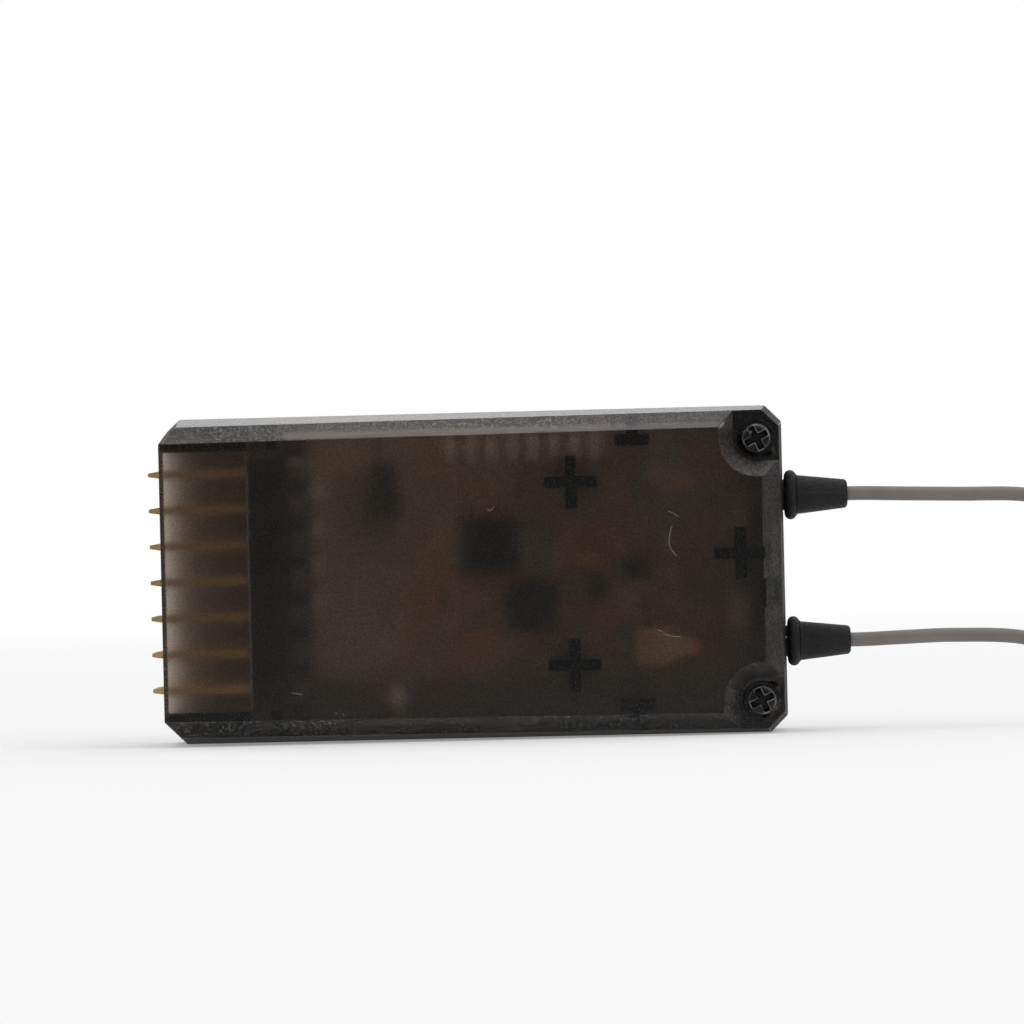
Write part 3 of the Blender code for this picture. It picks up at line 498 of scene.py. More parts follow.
materials = {
    "smokedBack": smokedPlastic("smokedBackShell", smokedSettings, "back"),
    "smokedFront": smokedPlastic("smokedFrontShell", smokedSettings, "front"),
    "header": finish("headerPlastic", (0.008, 0.008, 0.009), (0.013, 0.013, 0.014), (0.4, 0.6), 12000.0,
                     gloss=0.25),
    "gold": finish("goldPlating", (0.95, 0.68, 0.31), (0.8, 0.53, 0.21), (0.18, 0.36), metallic=1.0,
                   grainDepth=0.002 * mm, streaks=(14000.0, 900.0)),
    "board": boardFinish("boardResist", boardSettings),
    "darkBoard": finish("darkResist", (0.02, 0.019, 0.018), (0.012, 0.012, 0.012), (0.3, 0.5), 3000.0,
                        0.004 * mm),
    # Black oxide, with painted highlights in grey along the recess's edges and round the rim, and dust
    "screw": finish("blackOxide", (0.01, 0.01, 0.011), (0.02, 0.02, 0.021), (0.3, 0.5), 12000.0,
                    0.003 * mm, metallic=0.6, dust=0.05, wearAndShineColour=(0.6, 0.59, 0.58), wearAndShineAmount=0.9),
    "rubber": finish("bootRubber", (0.008, 0.0085, 0.009), (0.014, 0.0145, 0.015), (0.4, 0.65), 6000.0,
                     0.12 * mm, dust=0.14, dustColour=(0.32, 0.32, 0.32), gloss=0.3),
    "coax": finish("coaxJacket", (0.175, 0.158, 0.15), (0.145, 0.13, 0.123), (0.38, 0.55), 9000.0,
                   0.008 * mm, dust=0.05, dustColour=(0.4, 0.38, 0.36)),
    "core": finish("bareCore", (0.86, 0.85, 0.82), (0.78, 0.76, 0.72), (0.35, 0.5), 9000.0, 0.004 * mm),
    "chip": finish("chipPackage", (0.008, 0.008, 0.009), (0.014, 0.014, 0.015), (0.4, 0.6), 12000.0,
                   gloss=0.25),
    "can": finish("crystalCan", (0.06, 0.058, 0.055), (0.04, 0.039, 0.037), (0.25, 0.4), metallic=1.0,
                  grainDepth=0.002 * mm),
    "tantalum": finish("tantalumCase", (0.72, 0.53, 0.29), (0.62, 0.44, 0.22), (0.4, 0.6), 6000.0,
                       0.006 * mm, tip=(13.3 * mm, 13.8 * mm, (0.85, 0.36, 0.12))),
    "package": finish("mouldedPackage", (0.07, 0.065, 0.055), (0.05, 0.048, 0.04), (0.4, 0.6), 6000.0,
                      0.006 * mm),
    "ceramic": finish("ceramicBody", (0.6, 0.3, 0.1), (0.5, 0.23, 0.08), (0.4, 0.6), 6000.0, 0.006 * mm),
    "pale": finish("palePackage", (0.98, 0.95, 0.9), (0.93, 0.89, 0.84), (0.35, 0.55), 6000.0, 0.004 * mm),
    "lint": finish("lintFibre", (0.38, 0.37, 0.35), (0.27, 0.26, 0.25), (0.7, 0.9), 9000.0, 0.002 * mm),
    "solder": finish("solderMetal", (0.2, 0.18, 0.155), (0.15, 0.135, 0.115), (0.4, 0.55), 5000.0,
                     0.004 * mm, metallic=0.2),
    "endcap": finish("filterBody", (0.85, 0.79, 0.72), (0.72, 0.66, 0.6), (0.35, 0.55), 6000.0, 0.004 * mm),
}
print("materials made:", len(materials))


# Meshes worked out as grids


meshSettings = {
    "mergeDistance": 0.0001 * mm,
    "sharpDegrees": 40.0,
    "routeSteps": 24,  # between two points of a route
    "tubeSides": 16,
}


def addPiece(name, mesh):
    piece = bpy.data.objects.new(name, mesh)
    bpy.context.scene.collection.objects.link(piece)
    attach(piece, "root")
    return piece


def addMesh(name, points, faces, material):
    mesh = bpy.data.meshes.new(name)
    mesh.from_pydata(points.reshape(-1, 3).tolist(), [], faces)
    mesh.materials.append(material)
    bm = bmesh.new()
    bm.from_mesh(mesh)
    bmesh.ops.remove_doubles(bm, verts=bm.verts, dist=meshSettings["mergeDistance"])
    bmesh.ops.recalc_face_normals(bm, faces=bm.faces)
    bm.to_mesh(mesh)
    bm.free()
    mesh.shade_smooth()
    mesh.set_sharp_from_angle(angle=math.radians(meshSettings["sharpDegrees"]))
    return addPiece(name, mesh)


# Quads between neighbouring rings of a closed grid, with a many-sided cap on each end ring
def ringFaces(rows, columns, offset=0, caps=True):
    index = offset + np.arange(rows * columns).reshape(rows, columns)
    beside = np.roll(index, -1, axis=1)
    quads = np.stack([index[:-1], beside[:-1], beside[1:], index[1:]], axis=-1).reshape(-1, 4).tolist()
    if caps:
        quads += [index[0].tolist(), index[-1][::-1].tolist()]
    return quads


# A turned form: each profile point (along, radius) goes round the axis, and bump adds to the radius
def lathe(profile, place, axis, sides, bump=None):
    turn = np.linspace(0, 2 * math.pi, sides, endpoint=False)
    along, radius = np.array(profile, float).T
    radius = radius[:, None] + (0 if bump is None else bump(along[:, None], turn[None, :]))
    a, b = radius * np.cos(turn), radius * np.sin(turn)
    c = np.broadcast_to(along[:, None], a.shape)
    order = {"X": (c, a, b), "Y": (a, c, b), "Z": (a, b, c)}[axis]
    return np.stack(order, axis=-1) + np.array(place, float)


# An arc: the centre plus the radius times the turn's cosine and sine
def arcPoints(centre, radius, startDegrees, endDegrees, steps):
    turn = np.radians(np.linspace(startDegrees, endDegrees, steps + 1))
    return [(centre[0] + radius * math.cos(t), centre[1] + radius * math.sin(t)) for t in turn]


# Reads a line off again at even distances
def evenly(line, step):
    along = np.concatenate([[0], np.cumsum(np.linalg.norm(np.diff(line, axis=0), axis=1))])
    at = np.linspace(0, along[-1], max(3, round(along[-1] / step) + 1))
    return np.stack([np.interp(at, along, line[:, k]) for k in range(3)], axis=1)


# A centripetal curve through the route's points: each stretch blends its four nearest points, and a knot
# stands at the square root of the distance between two of them
def smoothRoute(points):
    p = np.array(points, float)
    p = np.vstack([2 * p[0] - p[1], p, 2 * p[-1] - p[-2]])
    a, b, c, d = p[:-3, None], p[1:-2, None], p[2:-1, None], p[3:, None]
    gap = [np.linalg.norm(v - u, axis=-1, keepdims=True) ** 0.5 for u, v in ((a, b), (b, c), (c, d))]
    k0 = np.zeros_like(gap[0])
    k1, k2, k3 = k0 + gap[0], k0 + gap[0] + gap[1], k0 + gap[0] + gap[1] + gap[2]
    t = k1 + (k2 - k1) * np.linspace(0, 1, meshSettings["routeSteps"], endpoint=False)[None, :, None]
    ab = (k1 - t) / (k1 - k0) * a + (t - k0) / (k1 - k0) * b
    bc = (k2 - t) / (k2 - k1) * b + (t - k1) / (k2 - k1) * c
    cd = (k3 - t) / (k3 - k2) * c + (t - k2) / (k3 - k2) * d
    abc = (k2 - t) / (k2 - k0) * ab + (t - k0) / (k2 - k0) * bc
    bcd = (k3 - t) / (k3 - k1) * bc + (t - k1) / (k3 - k1) * cd
    line = (k2 - t) / (k2 - k1) * abc + (t - k1) / (k2 - k1) * bcd
    return np.vstack([line.reshape(-1, 3), p[-2][None]])


# A round section carried along a line that is nowhere upright: its sides are the line's level normal and
# the normal that is square to both
def tubePoints(line, radius, sides):
    ahead = np.gradient(line, axis=0)
    ahead /= np.linalg.norm(ahead, axis=1, keepdims=True)
    level = np.cross(ahead, (0.0, 0.0, 1.0))
    level /= np.linalg.norm(level, axis=1, keepdims=True)
    upper = np.cross(level, ahead)
    turn = np.linspace(0, 2 * math.pi, sides, endpoint=False)[None, :, None]
    return line[:, None] + radius * (np.cos(turn) * level[:, None] + np.sin(turn) * upper[:, None])


def addTube(name, line, radius, material):
    sides = meshSettings["tubeSides"]
    points = tubePoints(line, radius, sides)
    return addMesh(name, points, ringFaces(len(line), sides), material)


# Leads: the route that the solids follow, then the coil's turns and the bare tip
leadSettings = {
    "width": 1.0 * mm,
    "length": 120.0 * mm,
    "startInBoot": 1.0 * mm,
    "coilWidth": 11.0 * mm,
    "tipWidth": 0.7 * mm,
    "tipLength": 31.0 * mm,
    "seat": 0.3 * mm,  # gap to what lies beside
    "coilSteps": 160,
    "lineStep": 0.4 * mm,
    "tipSteps": 200,
    "tipStep": 0.35 * mm,
    "tipGap": 0.1 * mm,  # between the bare tip's turns
    "tipSettle": 6,  # the tip comes down to the floor in a turn divided by this
}
# From the boot's mouth along X and from the lead's axis along Y, then the height above the floor
leadRoutes = {
    "top": ((4.0, 0.0, 16.62), (8.0, 0.0, 16.5), (12.4, -0.05, 16.36), (16.5, -0.4, 15.6),
            (20.5, -1.1, 13.8), (24.5, -2.05, 10.9), (28.5, -3.05, 7.2), (32.5, -3.85, 3.6),
            (36.0, -4.2, 1.3)),
    "bottom": ((3.6, 0.0, 6.46), (7.3, 0.0, 6.53), (12.4, -0.15, 6.2), (15.8, -1.2, 4.9),
               (19.0, -2.9, 2.7), (21.8, -4.0, 1.05)),
}


# The lead follows its route, then a spiral whose radius falls evenly from the outer turn to the inner one.
# The bare tip goes on round in a tighter spiral, and settles on the floor along a smooth step
def addLead(where, settings):
    bootLow, bootHigh = boxOf("antenna_boot_" + where)
    ringLow, ringHigh = boxOf("lead_coil_" + where)
    mouth = np.array([bootHigh[0], (bootLow[1] + bootHigh[1]) / 2, (bootLow[2] + bootHigh[2]) / 2])
    half = settings["width"] / 2
    middle = (ringLow + ringHigh) / 2
    outer = (ringHigh[0] - ringLow[0]) / 2
    firstRadius = outer - half
    lastRadius = settings["coilWidth"] - firstRadius
    route = [mouth - (settings["startInBoot"], 0, 0), mouth + (settings["width"], 0, 0)]
    route += [(mouth[0] + x * mm, mouth[1] + y * mm, z * mm) for x, y, z in leadRoutes[where]]
    reach = outer + half + settings["seat"]
    entryX = middle[0] - math.sqrt(reach**2 - firstRadius**2)
    route += [(entryX, middle[1] - firstRadius, half), (middle[0], middle[1] - firstRadius, half)]
    free = smoothRoute(route)
    left = settings["length"] - np.linalg.norm(np.diff(free, axis=0), axis=1).sum()
    turns = left / (math.pi * settings["coilWidth"])
    share = np.linspace(0, 1, settings["coilSteps"])
    angle = -math.pi / 2 + 2 * math.pi * turns * share
    radius = firstRadius + (lastRadius - firstRadius) * share
    coil = np.stack([middle[0] + radius * np.cos(angle), middle[1] + radius * np.sin(angle),
                     np.full_like(angle, half)], axis=1)
    line = evenly(np.vstack([free[:-1], coil]), settings["lineStep"])
    line[:, 2] = np.maximum(line[:, 2], half)
    lead = addTube("coax_lead_" + where, line, half, materials["coax"])
    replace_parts(lead, "antenna_lead_" + where, "lead_coil_" + where)

    tipHalf = settings["tipWidth"] / 2
    inner = lastRadius - half - settings["seat"] - tipHalf
    length = settings["tipLength"]
    drop = settings["tipWidth"] + settings["tipGap"]
    tipTurns = length / (2 * math.pi * (inner - drop / 2))
    share = np.linspace(0, 1, settings["tipSteps"])
    tipAngle = angle[-1] + 2 * math.pi * tipTurns * share
    settle = np.clip(share * tipTurns * settings["tipSettle"], 0, 1)
    settle = settle * settle * (3 - 2 * settle)
    tipRadius = lastRadius + (inner - lastRadius) * settle - drop * tipTurns * share
    height = half + (tipHalf - half) * settle
    tipLine = np.stack([middle[0] + tipRadius * np.cos(tipAngle), middle[1] + tipRadius * np.sin(tipAngle),
                        height], axis=1)
    tipLine = evenly(tipLine, settings["tipStep"])
    tip = addTube("bare_tip_" + where, tipLine, tipHalf, materials["core"])
    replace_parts(tip, "antenna_tip_" + where)


for where in ("top", "bottom"):
    addLead(where, leadSettings)
print("leads laid")


# Case shells: the solids with their planes rejoined, and a narrow rounding on the outer edges
shellSettings = {
    "mergeDistance": 0.001 * mm,
    "planeDegrees": 0.4,  # faces that turn less than this are rejoined
    "edgeWidth": 0.07 * mm,
    "edgeDegrees": 12.0,
    # How far in from the case's box the outer skin may lie: near face, far face, sides, lead end, open end
    "skinReach": (1.65 * mm, 0.9 * mm, 1.15 * mm, 0.75 * mm, 0.3 * mm),
    "pastBlock": 0.2 * mm,  # the bay ends this far past the header block's face
    "bevelLean": (0.15, 0.97),  # outer faces whose normal has this much along Y are frosted
    "endLean": 0.3,
    "postInset": 0.3 * mm,
    "postReach": 1.0 * mm,
    "postClear": 0.1 * mm,
    "pocketReach": 4.0 * mm,
    "wallThick": 1.2 * mm,
    "smoothArea": 2.0,  # faces under this many square millimetres belong to round stretches
}


# Outer faces look away from the case's middle and lie near its box
def outerFaces(bm, settings):
    nearReach, farReach, sideReach, leadReach, mouthReach = settings["skinReach"]
    chosen = set()
    for face in bm.faces:
        centre = np.array(face.calc_center_median())
        away = centre - caseMiddle
        looksOut = float(np.dot(np.array(face.normal), away)) > 0
        nearFace = centre[1] < caseLow[1] + nearReach or centre[1] > caseHigh[1] - farReach
        nearSide = abs(away[2]) > caseHigh[2] - caseMiddle[2] - sideReach
        nearEnd = centre[0] > caseHigh[0] - leadReach or centre[0] < caseLow[0] + mouthReach
        if looksOut and (nearFace or nearSide or nearEnd):
            chosen.add(face)
    return chosen


# Gives the shell's mesh, and for each face its kind (0 inner, 1 outer skin, 2 rounded edge) and whether
# it lies in the bay
def roundShell(node, name, settings):
    bm = bmesh.new()
    bm.from_mesh(nodes[node].data)
    bmesh.ops.remove_doubles(bm, verts=bm.verts, dist=settings["mergeDistance"])
    planeAngle = math.radians(settings["planeDegrees"])
    bmesh.ops.dissolve_limit(bm, angle_limit=planeAngle, verts=bm.verts, edges=bm.edges)
    outer = outerFaces(bm, settings)
    for face in bm.faces:
        face.material_index = 1 if face in outer else 0
    sharp = [
        edge for edge in bm.edges
        if len(edge.link_faces) == 2 and edge.calc_face_angle(0) > math.radians(settings["edgeDegrees"])
        and all(face in outer for face in edge.link_faces)
    ]
    bmesh.ops.bevel(bm, geom=sharp, offset=settings["edgeWidth"], offset_type="OFFSET", segments=2,
                    profile=0.5, affect="EDGES", clamp_overlap=True, material=2)
    kinds = np.array([face.material_index for face in bm.faces])
    bayEnd = boxOf("header_block")[0][0] + settings["pastBlock"]
    inBay = np.array([max(vert.co.x for vert in face.verts) < bayEnd for face in bm.faces])
    for face in bm.faces:
        face.smooth = face.calc_area() < settings["smoothArea"] * mm * mm
        face.material_index = 0
    mesh = bpy.data.meshes.new(name)
    bm.to_mesh(mesh)
    bm.free()
    return mesh, kinds, inBay


# True for faces behind the near face's wall, over the board and clear of the screw pockets
def insideRoom(mesh, settings):
    x, y, z = np.array([face.center for face in mesh.polygons]).T
    low, high = boxOf("main_board")
    inset, corner = settings["postInset"], settings["pocketReach"]
    beforePockets = x < high[0] - corner
    betweenPockets = (z > low[2] + corner) & (z < high[2] - corner)
    along = (x > low[0] + inset) & (x < high[0] + settings["postReach"])
    upright = (z > low[2] + inset) & (z < high[2] - inset)
    deep = (y < 0) & (y > caseLow[1] + settings["wallThick"] + settings["postClear"])
    return along & (beforePockets | betweenPockets) & upright & deep


# Marks each face of the rounded shell with what its material reads
def dressShell(node, name, finishName, settings):
    mesh, kinds, inBay = roundShell(node, name, settings)
    lean = np.array([abs(face.normal.y) for face in mesh.polygons])
    leaning = (lean > settings["bevelLean"][0]) & (lean < settings["bevelLean"][1])
    onEnd = np.array([abs(face.normal.x) > settings["endLean"] for face in mesh.polygons])
    below = np.array([face.normal.z < -settings["endLean"] for face in mesh.polygons])
    marks = {
        "outerSkin": kinds > 0,
        "wearAndShine": kinds == 2,
        "bayWall": inBay & (kinds == 0),
        "bevel": leaning & (kinds == 1),
        # The end walls and the faces that look down, which get painted shade
        "endWall": ((onEnd & ~leaning) | below) & (kinds == 1),
        "post": insideRoom(mesh, settings) & (kinds == 0),
    }
    for label, values in marks.items():
        attribute = mesh.attributes.new(label, "FLOAT", "FACE")
        attribute.data.foreach_set("value", values.astype(np.float32))
    mesh.materials.append(materials[finishName])
    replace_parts(addPiece(name, mesh), node)


dressShell("back_shell", "back_case_shell", "smokedBack", shellSettings)
dressShell("front_shell", "front_case_shell", "smokedFront", shellSettings)
print("shells dressed")


# Case screws: a pan head with a cross recess
screwSettings = {
    "headHeight": 0.85 * mm,
    "shankWidth": 1.2 * mm,
    "flatShare": 0.62,  # of the radius, before the head rounds over
    "crossLength": 1.8 * mm,
    "crossWidth": 0.5 * mm,
    "crossDepth": 0.6 * mm,
    "wallSlope": 0.08 * mm,
    "turnDegrees": {"top": 27.0, "bottom": 24.0},
    "edgeShine": 0.024 * mm,  # width of the painted highlight along the recess
    # The painted highlight round the rim: where it lies as a share of the radius, its width and its
    # strength
    "rimShare": 0.93,
    "rimWidth": 0.05,
    "rimShine": 0.4,
    "sides": 180,
    "rings": 90,
    "crownFall": 0.55,  # share of the head's height that its rounded rim takes
    "crownLift": 0.05,  # and that its middle stands out
    "pointShare": 0.25,  # of the shank's radius, at its point
    "endSlope": 3.2,  # of the recess's arms, in wall slopes
}


# A place turned about the screw's axis
def turned(x, z, degrees):
    lean = math.radians(degrees)
    return x * math.cos(lean) + z * math.sin(lean), z * math.cos(lean) - x * math.sin(lean)


# Depth of the recess: two crossed slots whose walls slope and whose arms grow shallow at their ends
def crossDepth(x, z, settings):
    arms = []
    for along, across in ((x, z), (z, x)):
        side = np.clip((settings["crossWidth"] / 2 - np.abs(across)) / settings["wallSlope"], 0, 1)
        endRun = settings["endSlope"] * settings["wallSlope"]
        end = np.clip((settings["crossLength"] / 2 - np.abs(along)) / endRun, 0, 1)
        arms.append(side * end)
    return settings["crossDepth"] * np.maximum(*arms)


# The head is a height over a polar grid: a dome less its recess. The rest is turned
def addScrew(where, settings):
    low, high = boxOf("case_screw_" + where)
    radius = (high[0] - low[0]) / 2
    middle = (low + high) / 2
    turn = np.linspace(0, 2 * math.pi, settings["sides"], endpoint=False)
    share = np.linspace(0.0, 1.0, settings["rings"])[1:, None]
    flat = settings["flatShare"]
    run = radius * share * np.ones_like(turn)
    x, z = run * np.cos(turn), run * np.sin(turn)
    outwards = np.clip((run / radius - flat) / (1 - flat), 0, 1)
    crown = settings["crownFall"] * settings["headHeight"] * (1 - np.sqrt(np.clip(1 - outwards**2, 0, 1)))
    crown = crown + settings["crownLift"] * settings["headHeight"] * (run / radius) ** 2
    depth = crown + crossDepth(*turned(x, z, settings["turnDegrees"][where]), settings)
    top = np.stack([middle[0] + x, low[1] + depth, middle[2] + z], axis=-1)
    seat = low[1] + settings["headHeight"]
    shank = settings["shankWidth"] / 2
    lower = [(seat, radius), (seat, shank), (high[1] - shank, shank)]
    lower.append((high[1], settings["pointShare"] * shank))
    below = lathe(lower, (middle[0], 0, middle[2]), "Y", len(turn))
    points = np.concatenate([top, below])
    screw = addMesh("pan_screw_" + where, points, ringFaces(len(points), len(turn)), materials["screw"])
    # Painted highlights along the edges of the recess and round the rim
    screwHighlights(screw, where, radius, middle, settings)
    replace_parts(screw, "case_screw_" + where)


# Painted highlights on the screw's edges: a bell curve over the distance from the recess's outline, and
# another over that from the rim
def screwHighlights(piece, where, radius, middle, settings):
    mesh = piece.data
    place = pointsOf(mesh)
    x, z = place[:, 0] - middle[0], place[:, 2] - middle[2]
    distance = np.hypot(x, z) / radius
    a, b = np.abs(turned(x, z, settings["turnDegrees"][where]))
    length, width = settings["crossLength"] / 2, settings["crossWidth"] / 2
    outline = np.minimum(np.maximum(a - length, b - width), np.maximum(b - length, a - width))
    wearAndShine = np.exp(-((outline / settings["edgeShine"]) ** 2))
    rim = np.exp(-(((distance - settings["rimShare"]) / settings["rimWidth"]) ** 2))
    wearAndShine = np.maximum(wearAndShine, settings["rimShine"] * rim)
    attribute = mesh.attributes.new("wearAndShine", "FLOAT", "POINT")
    attribute.data.foreach_set("value", wearAndShine.astype(np.float32))


for where in ("top", "bottom"):
    addScrew(where, screwSettings)
print("screws set")


# Rubber boots: a turned form with a thin moulding line
bootSettings = {
    "fit": 0.1 * mm,
    "innerThick": 0.5 * mm,
    "innerWidth": 2.9 * mm,
    "neckWidth": 2.2 * mm,
    "flangeWidth": 3.5 * mm,
    "flangeThick": 0.85 * mm,
    "coneWidth": 2.75 * mm,
    "endWidth": 2.05 * mm,
    "rounding": 0.3 * mm,
    "bore": 1.16 * mm,
    "lineHeight": 0.07 * mm,
    "lineWidth": 0.09,  # as a share of the radius
    "lineStop": 0.1 * mm,  # short of the small end
    "footRound": 0.12 * mm,  # between the flange and the cone
    "coneSteps": (0.05, 24),  # first share of the cone's length, and how many
    "mouth": (0.5 * mm, 0.02 * mm),  # depth of the bore that shows, and how much it narrows
    "sides": 120,
}


# The profile runs from the inner disc over the neck, the flange's round lip and the cone to the rounded
# end, and back into the bore. The moulding line is a bell curve over the sine of the turn
def addBoot(where, settings):
    low, high = boxOf("antenna_boot_" + where)
    place = (0, (low[1] + high[1]) / 2, (low[2] + high[2]) / 2)
    lip = settings["flangeThick"] / 2
    start = caseHigh[0] + settings["fit"]
    inner = low[0] + settings["innerThick"]
    foot = start + settings["flangeThick"]
    bore, neck, rounding = settings["bore"] / 2, settings["neckWidth"] / 2, settings["rounding"]
    cone, end = settings["coneWidth"] / 2, settings["endWidth"] / 2
    footRound, sides = settings["footRound"], settings["sides"]
    firstShare, coneCount = settings["coneSteps"]
    mouthDepth, mouthTaper = settings["mouth"]
    profile = [(low[0], bore), (low[0], settings["innerWidth"] / 2), (inner, settings["innerWidth"] / 2),
               (inner, neck), (start, neck)]
    profile += arcPoints((start + lip, settings["flangeWidth"] / 2 - lip), lip, 180, 0, 14)
    profile += arcPoints((foot + footRound, cone + footRound), footRound, 180, 270, 4)
    slim = high[0] - rounding
    run = slim - foot - footRound
    shares = np.linspace(firstShare, 1, coneCount)
    profile += [(foot + footRound + run * share, cone + (end - cone) * share) for share in shares]
    profile += arcPoints((slim, end - rounding), rounding, 90, 0, 8)[1:]
    profile += [(high[0], bore), (high[0] - mouthDepth, bore - mouthTaper)]

    def mouldLine(along, turn):
        on = (along > start) & (along < high[0] - settings["lineStop"])
        ridge = np.exp(-((np.sin(turn) / settings["lineWidth"]) ** 2))
        return np.where(on, settings["lineHeight"] * ridge, 0.0)

    points = lathe(profile, place, "X", sides, mouldLine)
    rows = len(profile)
    index = np.arange(rows * sides).reshape(rows, sides)
    closing = np.stack([index[-1], np.roll(index[-1], -1), np.roll(index[0], -1), index[0]], axis=-1)
    faces = ringFaces(rows, sides, caps=False) + closing.tolist()
    boot = addMesh("rubber_boot_" + where, points, faces, materials["rubber"])
    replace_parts(boot, "antenna_boot_" + where)


for where in ("top", "bottom"):
    addBoot(where, bootSettings)
print("boots fitted")


# Solder joints round the pins' tails
solderSettings = {
    "foot": 1.15 * mm,
    "neck": 0.8 * mm,
    "height": 1.1 * mm,
    "lift": 0.02 * mm,  # above the connector board
    "rings": 7,
    "sides": 20,
}


# Each joint is a flared cone: its radius falls from foot to neck as one less the sine of a quarter turn
def addSolder(settings):
    boardEnd = boxOf("connector_board")[1][0]
    rise = np.linspace(0, 1, settings["rings"])
    spread = settings["neck"] + (settings["foot"] - settings["neck"]) * (1 - np.sin(rise * math.pi / 2))
    along = boardEnd + settings["lift"] + settings["height"] * rise
    profile = list(zip(along, spread))
    sides = settings["sides"]
    points, faces = [], []
    for node in sorted(n for n in nodes if n.startswith("pin_")):
        low, high = boxOf(node)
        place = (0, (low[1] + high[1]) / 2, (low[2] + high[2]) / 2)
        faces += ringFaces(len(profile), sides, offset=len(points) * len(profile) * sides)
        points.append(lathe(profile, place, "X", sides))
    addMesh("solder_joints", np.concatenate(points), faces, materials["solder"])


addSolder(solderSettings)
print("pins soldered")


# Board parts that show their shape through the shell: rounded sections carried along X or Z
partSettings = {
    "rounding": 0.15 * mm,
    "roundShare": 0.3,  # of the rounding, at the step between its two ends
    "tantalum": ((0.0, 1.36), (2.45, 1.36), (2.75, 0.92), (4.0, 0.66), (4.6, 0.42)),  # along X, half height
    "regulator": ((0.2, 1.2), (2.0, 1.2), (2.1, 0.8), (4.3, 0.8)),  # along Z, half width
    "regulatorShift": -0.2 * mm,
    "filterHigh": 1.7 * mm,
    "filterDeep": 1.1 * mm,
}


# Sections of a rounded bar: each station (along, half across, half deep) is a superellipse, whose cosine
# and sine are raised to two over the power
def blockPoints(stations, middle, axis, sides=48, power=6.0):
    turn = np.linspace(0, 2 * math.pi, sides, endpoint=False)
    along, across, deep = np.array(stations, float).T
    cosine = np.sign(np.cos(turn)) * np.abs(np.cos(turn)) ** (2 / power)
    sine = np.sign(np.sin(turn)) * np.abs(np.sin(turn)) ** (2 / power)
    a, b = across[:, None] * cosine, deep[:, None] * sine
    c = np.broadcast_to(along[:, None], a.shape)
    order = {"X": (c, b, a), "Z": (a, b, c)}[axis]
    return np.stack(order, axis=-1) + np.array(middle, float)


# Adds a small step-in at each end of a line of (along, half across)
def roundedStations(line, deep, rounding, share):
    rows = [(along, across, deep) for along, across in line]
    (first, firstAcross, _), (last, lastAcross, _) = rows[0], rows[-1]
    step = share * rounding
    start = [(first, firstAcross - rounding, deep - rounding),
             (first + step, firstAcross - step, deep - step)]
    end = [(last - step, lastAcross - step, deep - step),
           (last, lastAcross - rounding, deep - rounding)]
    rows[0] = (first + rounding, firstAcross, deep)
    rows[-1] = (last - rounding, lastAcross, deep)
    return start + rows + end


def addBlock(name, node, line, deep, axis, middle, finishName):
    stations = roundedStations(line, deep / 2, partSettings["rounding"], partSettings["roundShare"])
    points = blockPoints(stations, middle, axis)
    faces = ringFaces(len(stations), points.shape[1])
    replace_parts(addMesh(name, points, faces, materials[finishName]), node)


def addParts(settings):
    low, high = boxOf("tantalum_capacitor")
    middle = (low + high) / 2
    line = [(low[0] + x * mm, half * mm) for x, half in settings["tantalum"]]
    addBlock("moulded_capacitor", "tantalum_capacitor", line, high[1] - low[1], "X",
             (0, middle[1], middle[2]), "tantalum")
    low, high = boxOf("voltage_regulator")
    middle = (low + high) / 2
    line = [(low[2] + z * mm, half * mm) for z, half in settings["regulator"]]
    addBlock("tabbed_regulator", "voltage_regulator", line, high[1] - low[1], "Z",
             (middle[0] + settings["regulatorShift"], middle[1], 0), "package")
    for node in sorted(n for n in nodes if n.startswith("filter_part")):
        low, high = boxOf(node)
        middle = (low + high) / 2
        half, deep, across = settings["filterHigh"] / 2, settings["filterDeep"], (high[0] - low[0]) / 2
        line = [(middle[2] - half, across), (middle[2] + half, across)]
        addBlock(node.replace("filter_part", "filter_block"), node, line, deep, "Z",
                 (middle[0], high[1] - deep / 2, 0), "endcap")


addParts(partSettings)


# Solder pads in a row on the board, and the dome of the status light
domeSettings = {
    "rings": 8,
    "sides": 28,
    "padRadius": 0.5 * mm,
    "padHeight": 0.14 * mm,
    "padPitch": 2.54 * mm,
    "padCount": 4,
    "firstPad": 10.0 * mm,  # above the floor
    "padInset": 0.55 * mm,  # from the board's end near the pins
    "lightHeight": 1.2 * mm,
}


# Low domes on the board: their height is the sine, and their radius the cosine, of a quarter turn
def addDomes(name, places, radius, height, top, settings):
    sides = settings["sides"]
    turn = np.linspace(0, 1, settings["rings"])[1:-1] * math.pi / 2
    profile = [(top, radius)] + [(top - height * math.sin(t), radius * math.cos(t)) for t in turn]
    points, faces = [], []
    for x, z in places:
        faces += ringFaces(len(profile), sides, offset=len(points) * len(profile) * sides)
        points.append(lathe(profile, (x, 0, z), "Y", sides))
    return addMesh(name, np.concatenate(points), faces, materials["pale"])


def addPadsAndLight(settings):
    low, high = boxOf("main_board")
    x = low[0] + settings["padInset"]
    rows = settings["firstPad"] + settings["padPitch"] * np.arange(settings["padCount"])
    addDomes("board_pads", [(x, z) for z in rows], settings["padRadius"], settings["padHeight"],
             low[1], settings)
    low, high = boxOf("status_light")
    middle = (low + high) / 2
    radius = (high[0] - low[0]) / 2
    dome = addDomes("status_dome", [(middle[0], middle[2])], radius, settings["lightHeight"], high[1],
                    settings)
    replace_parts(dome, "status_light")


addPadsAndLight(domeSettings)
print("board parts dressed")


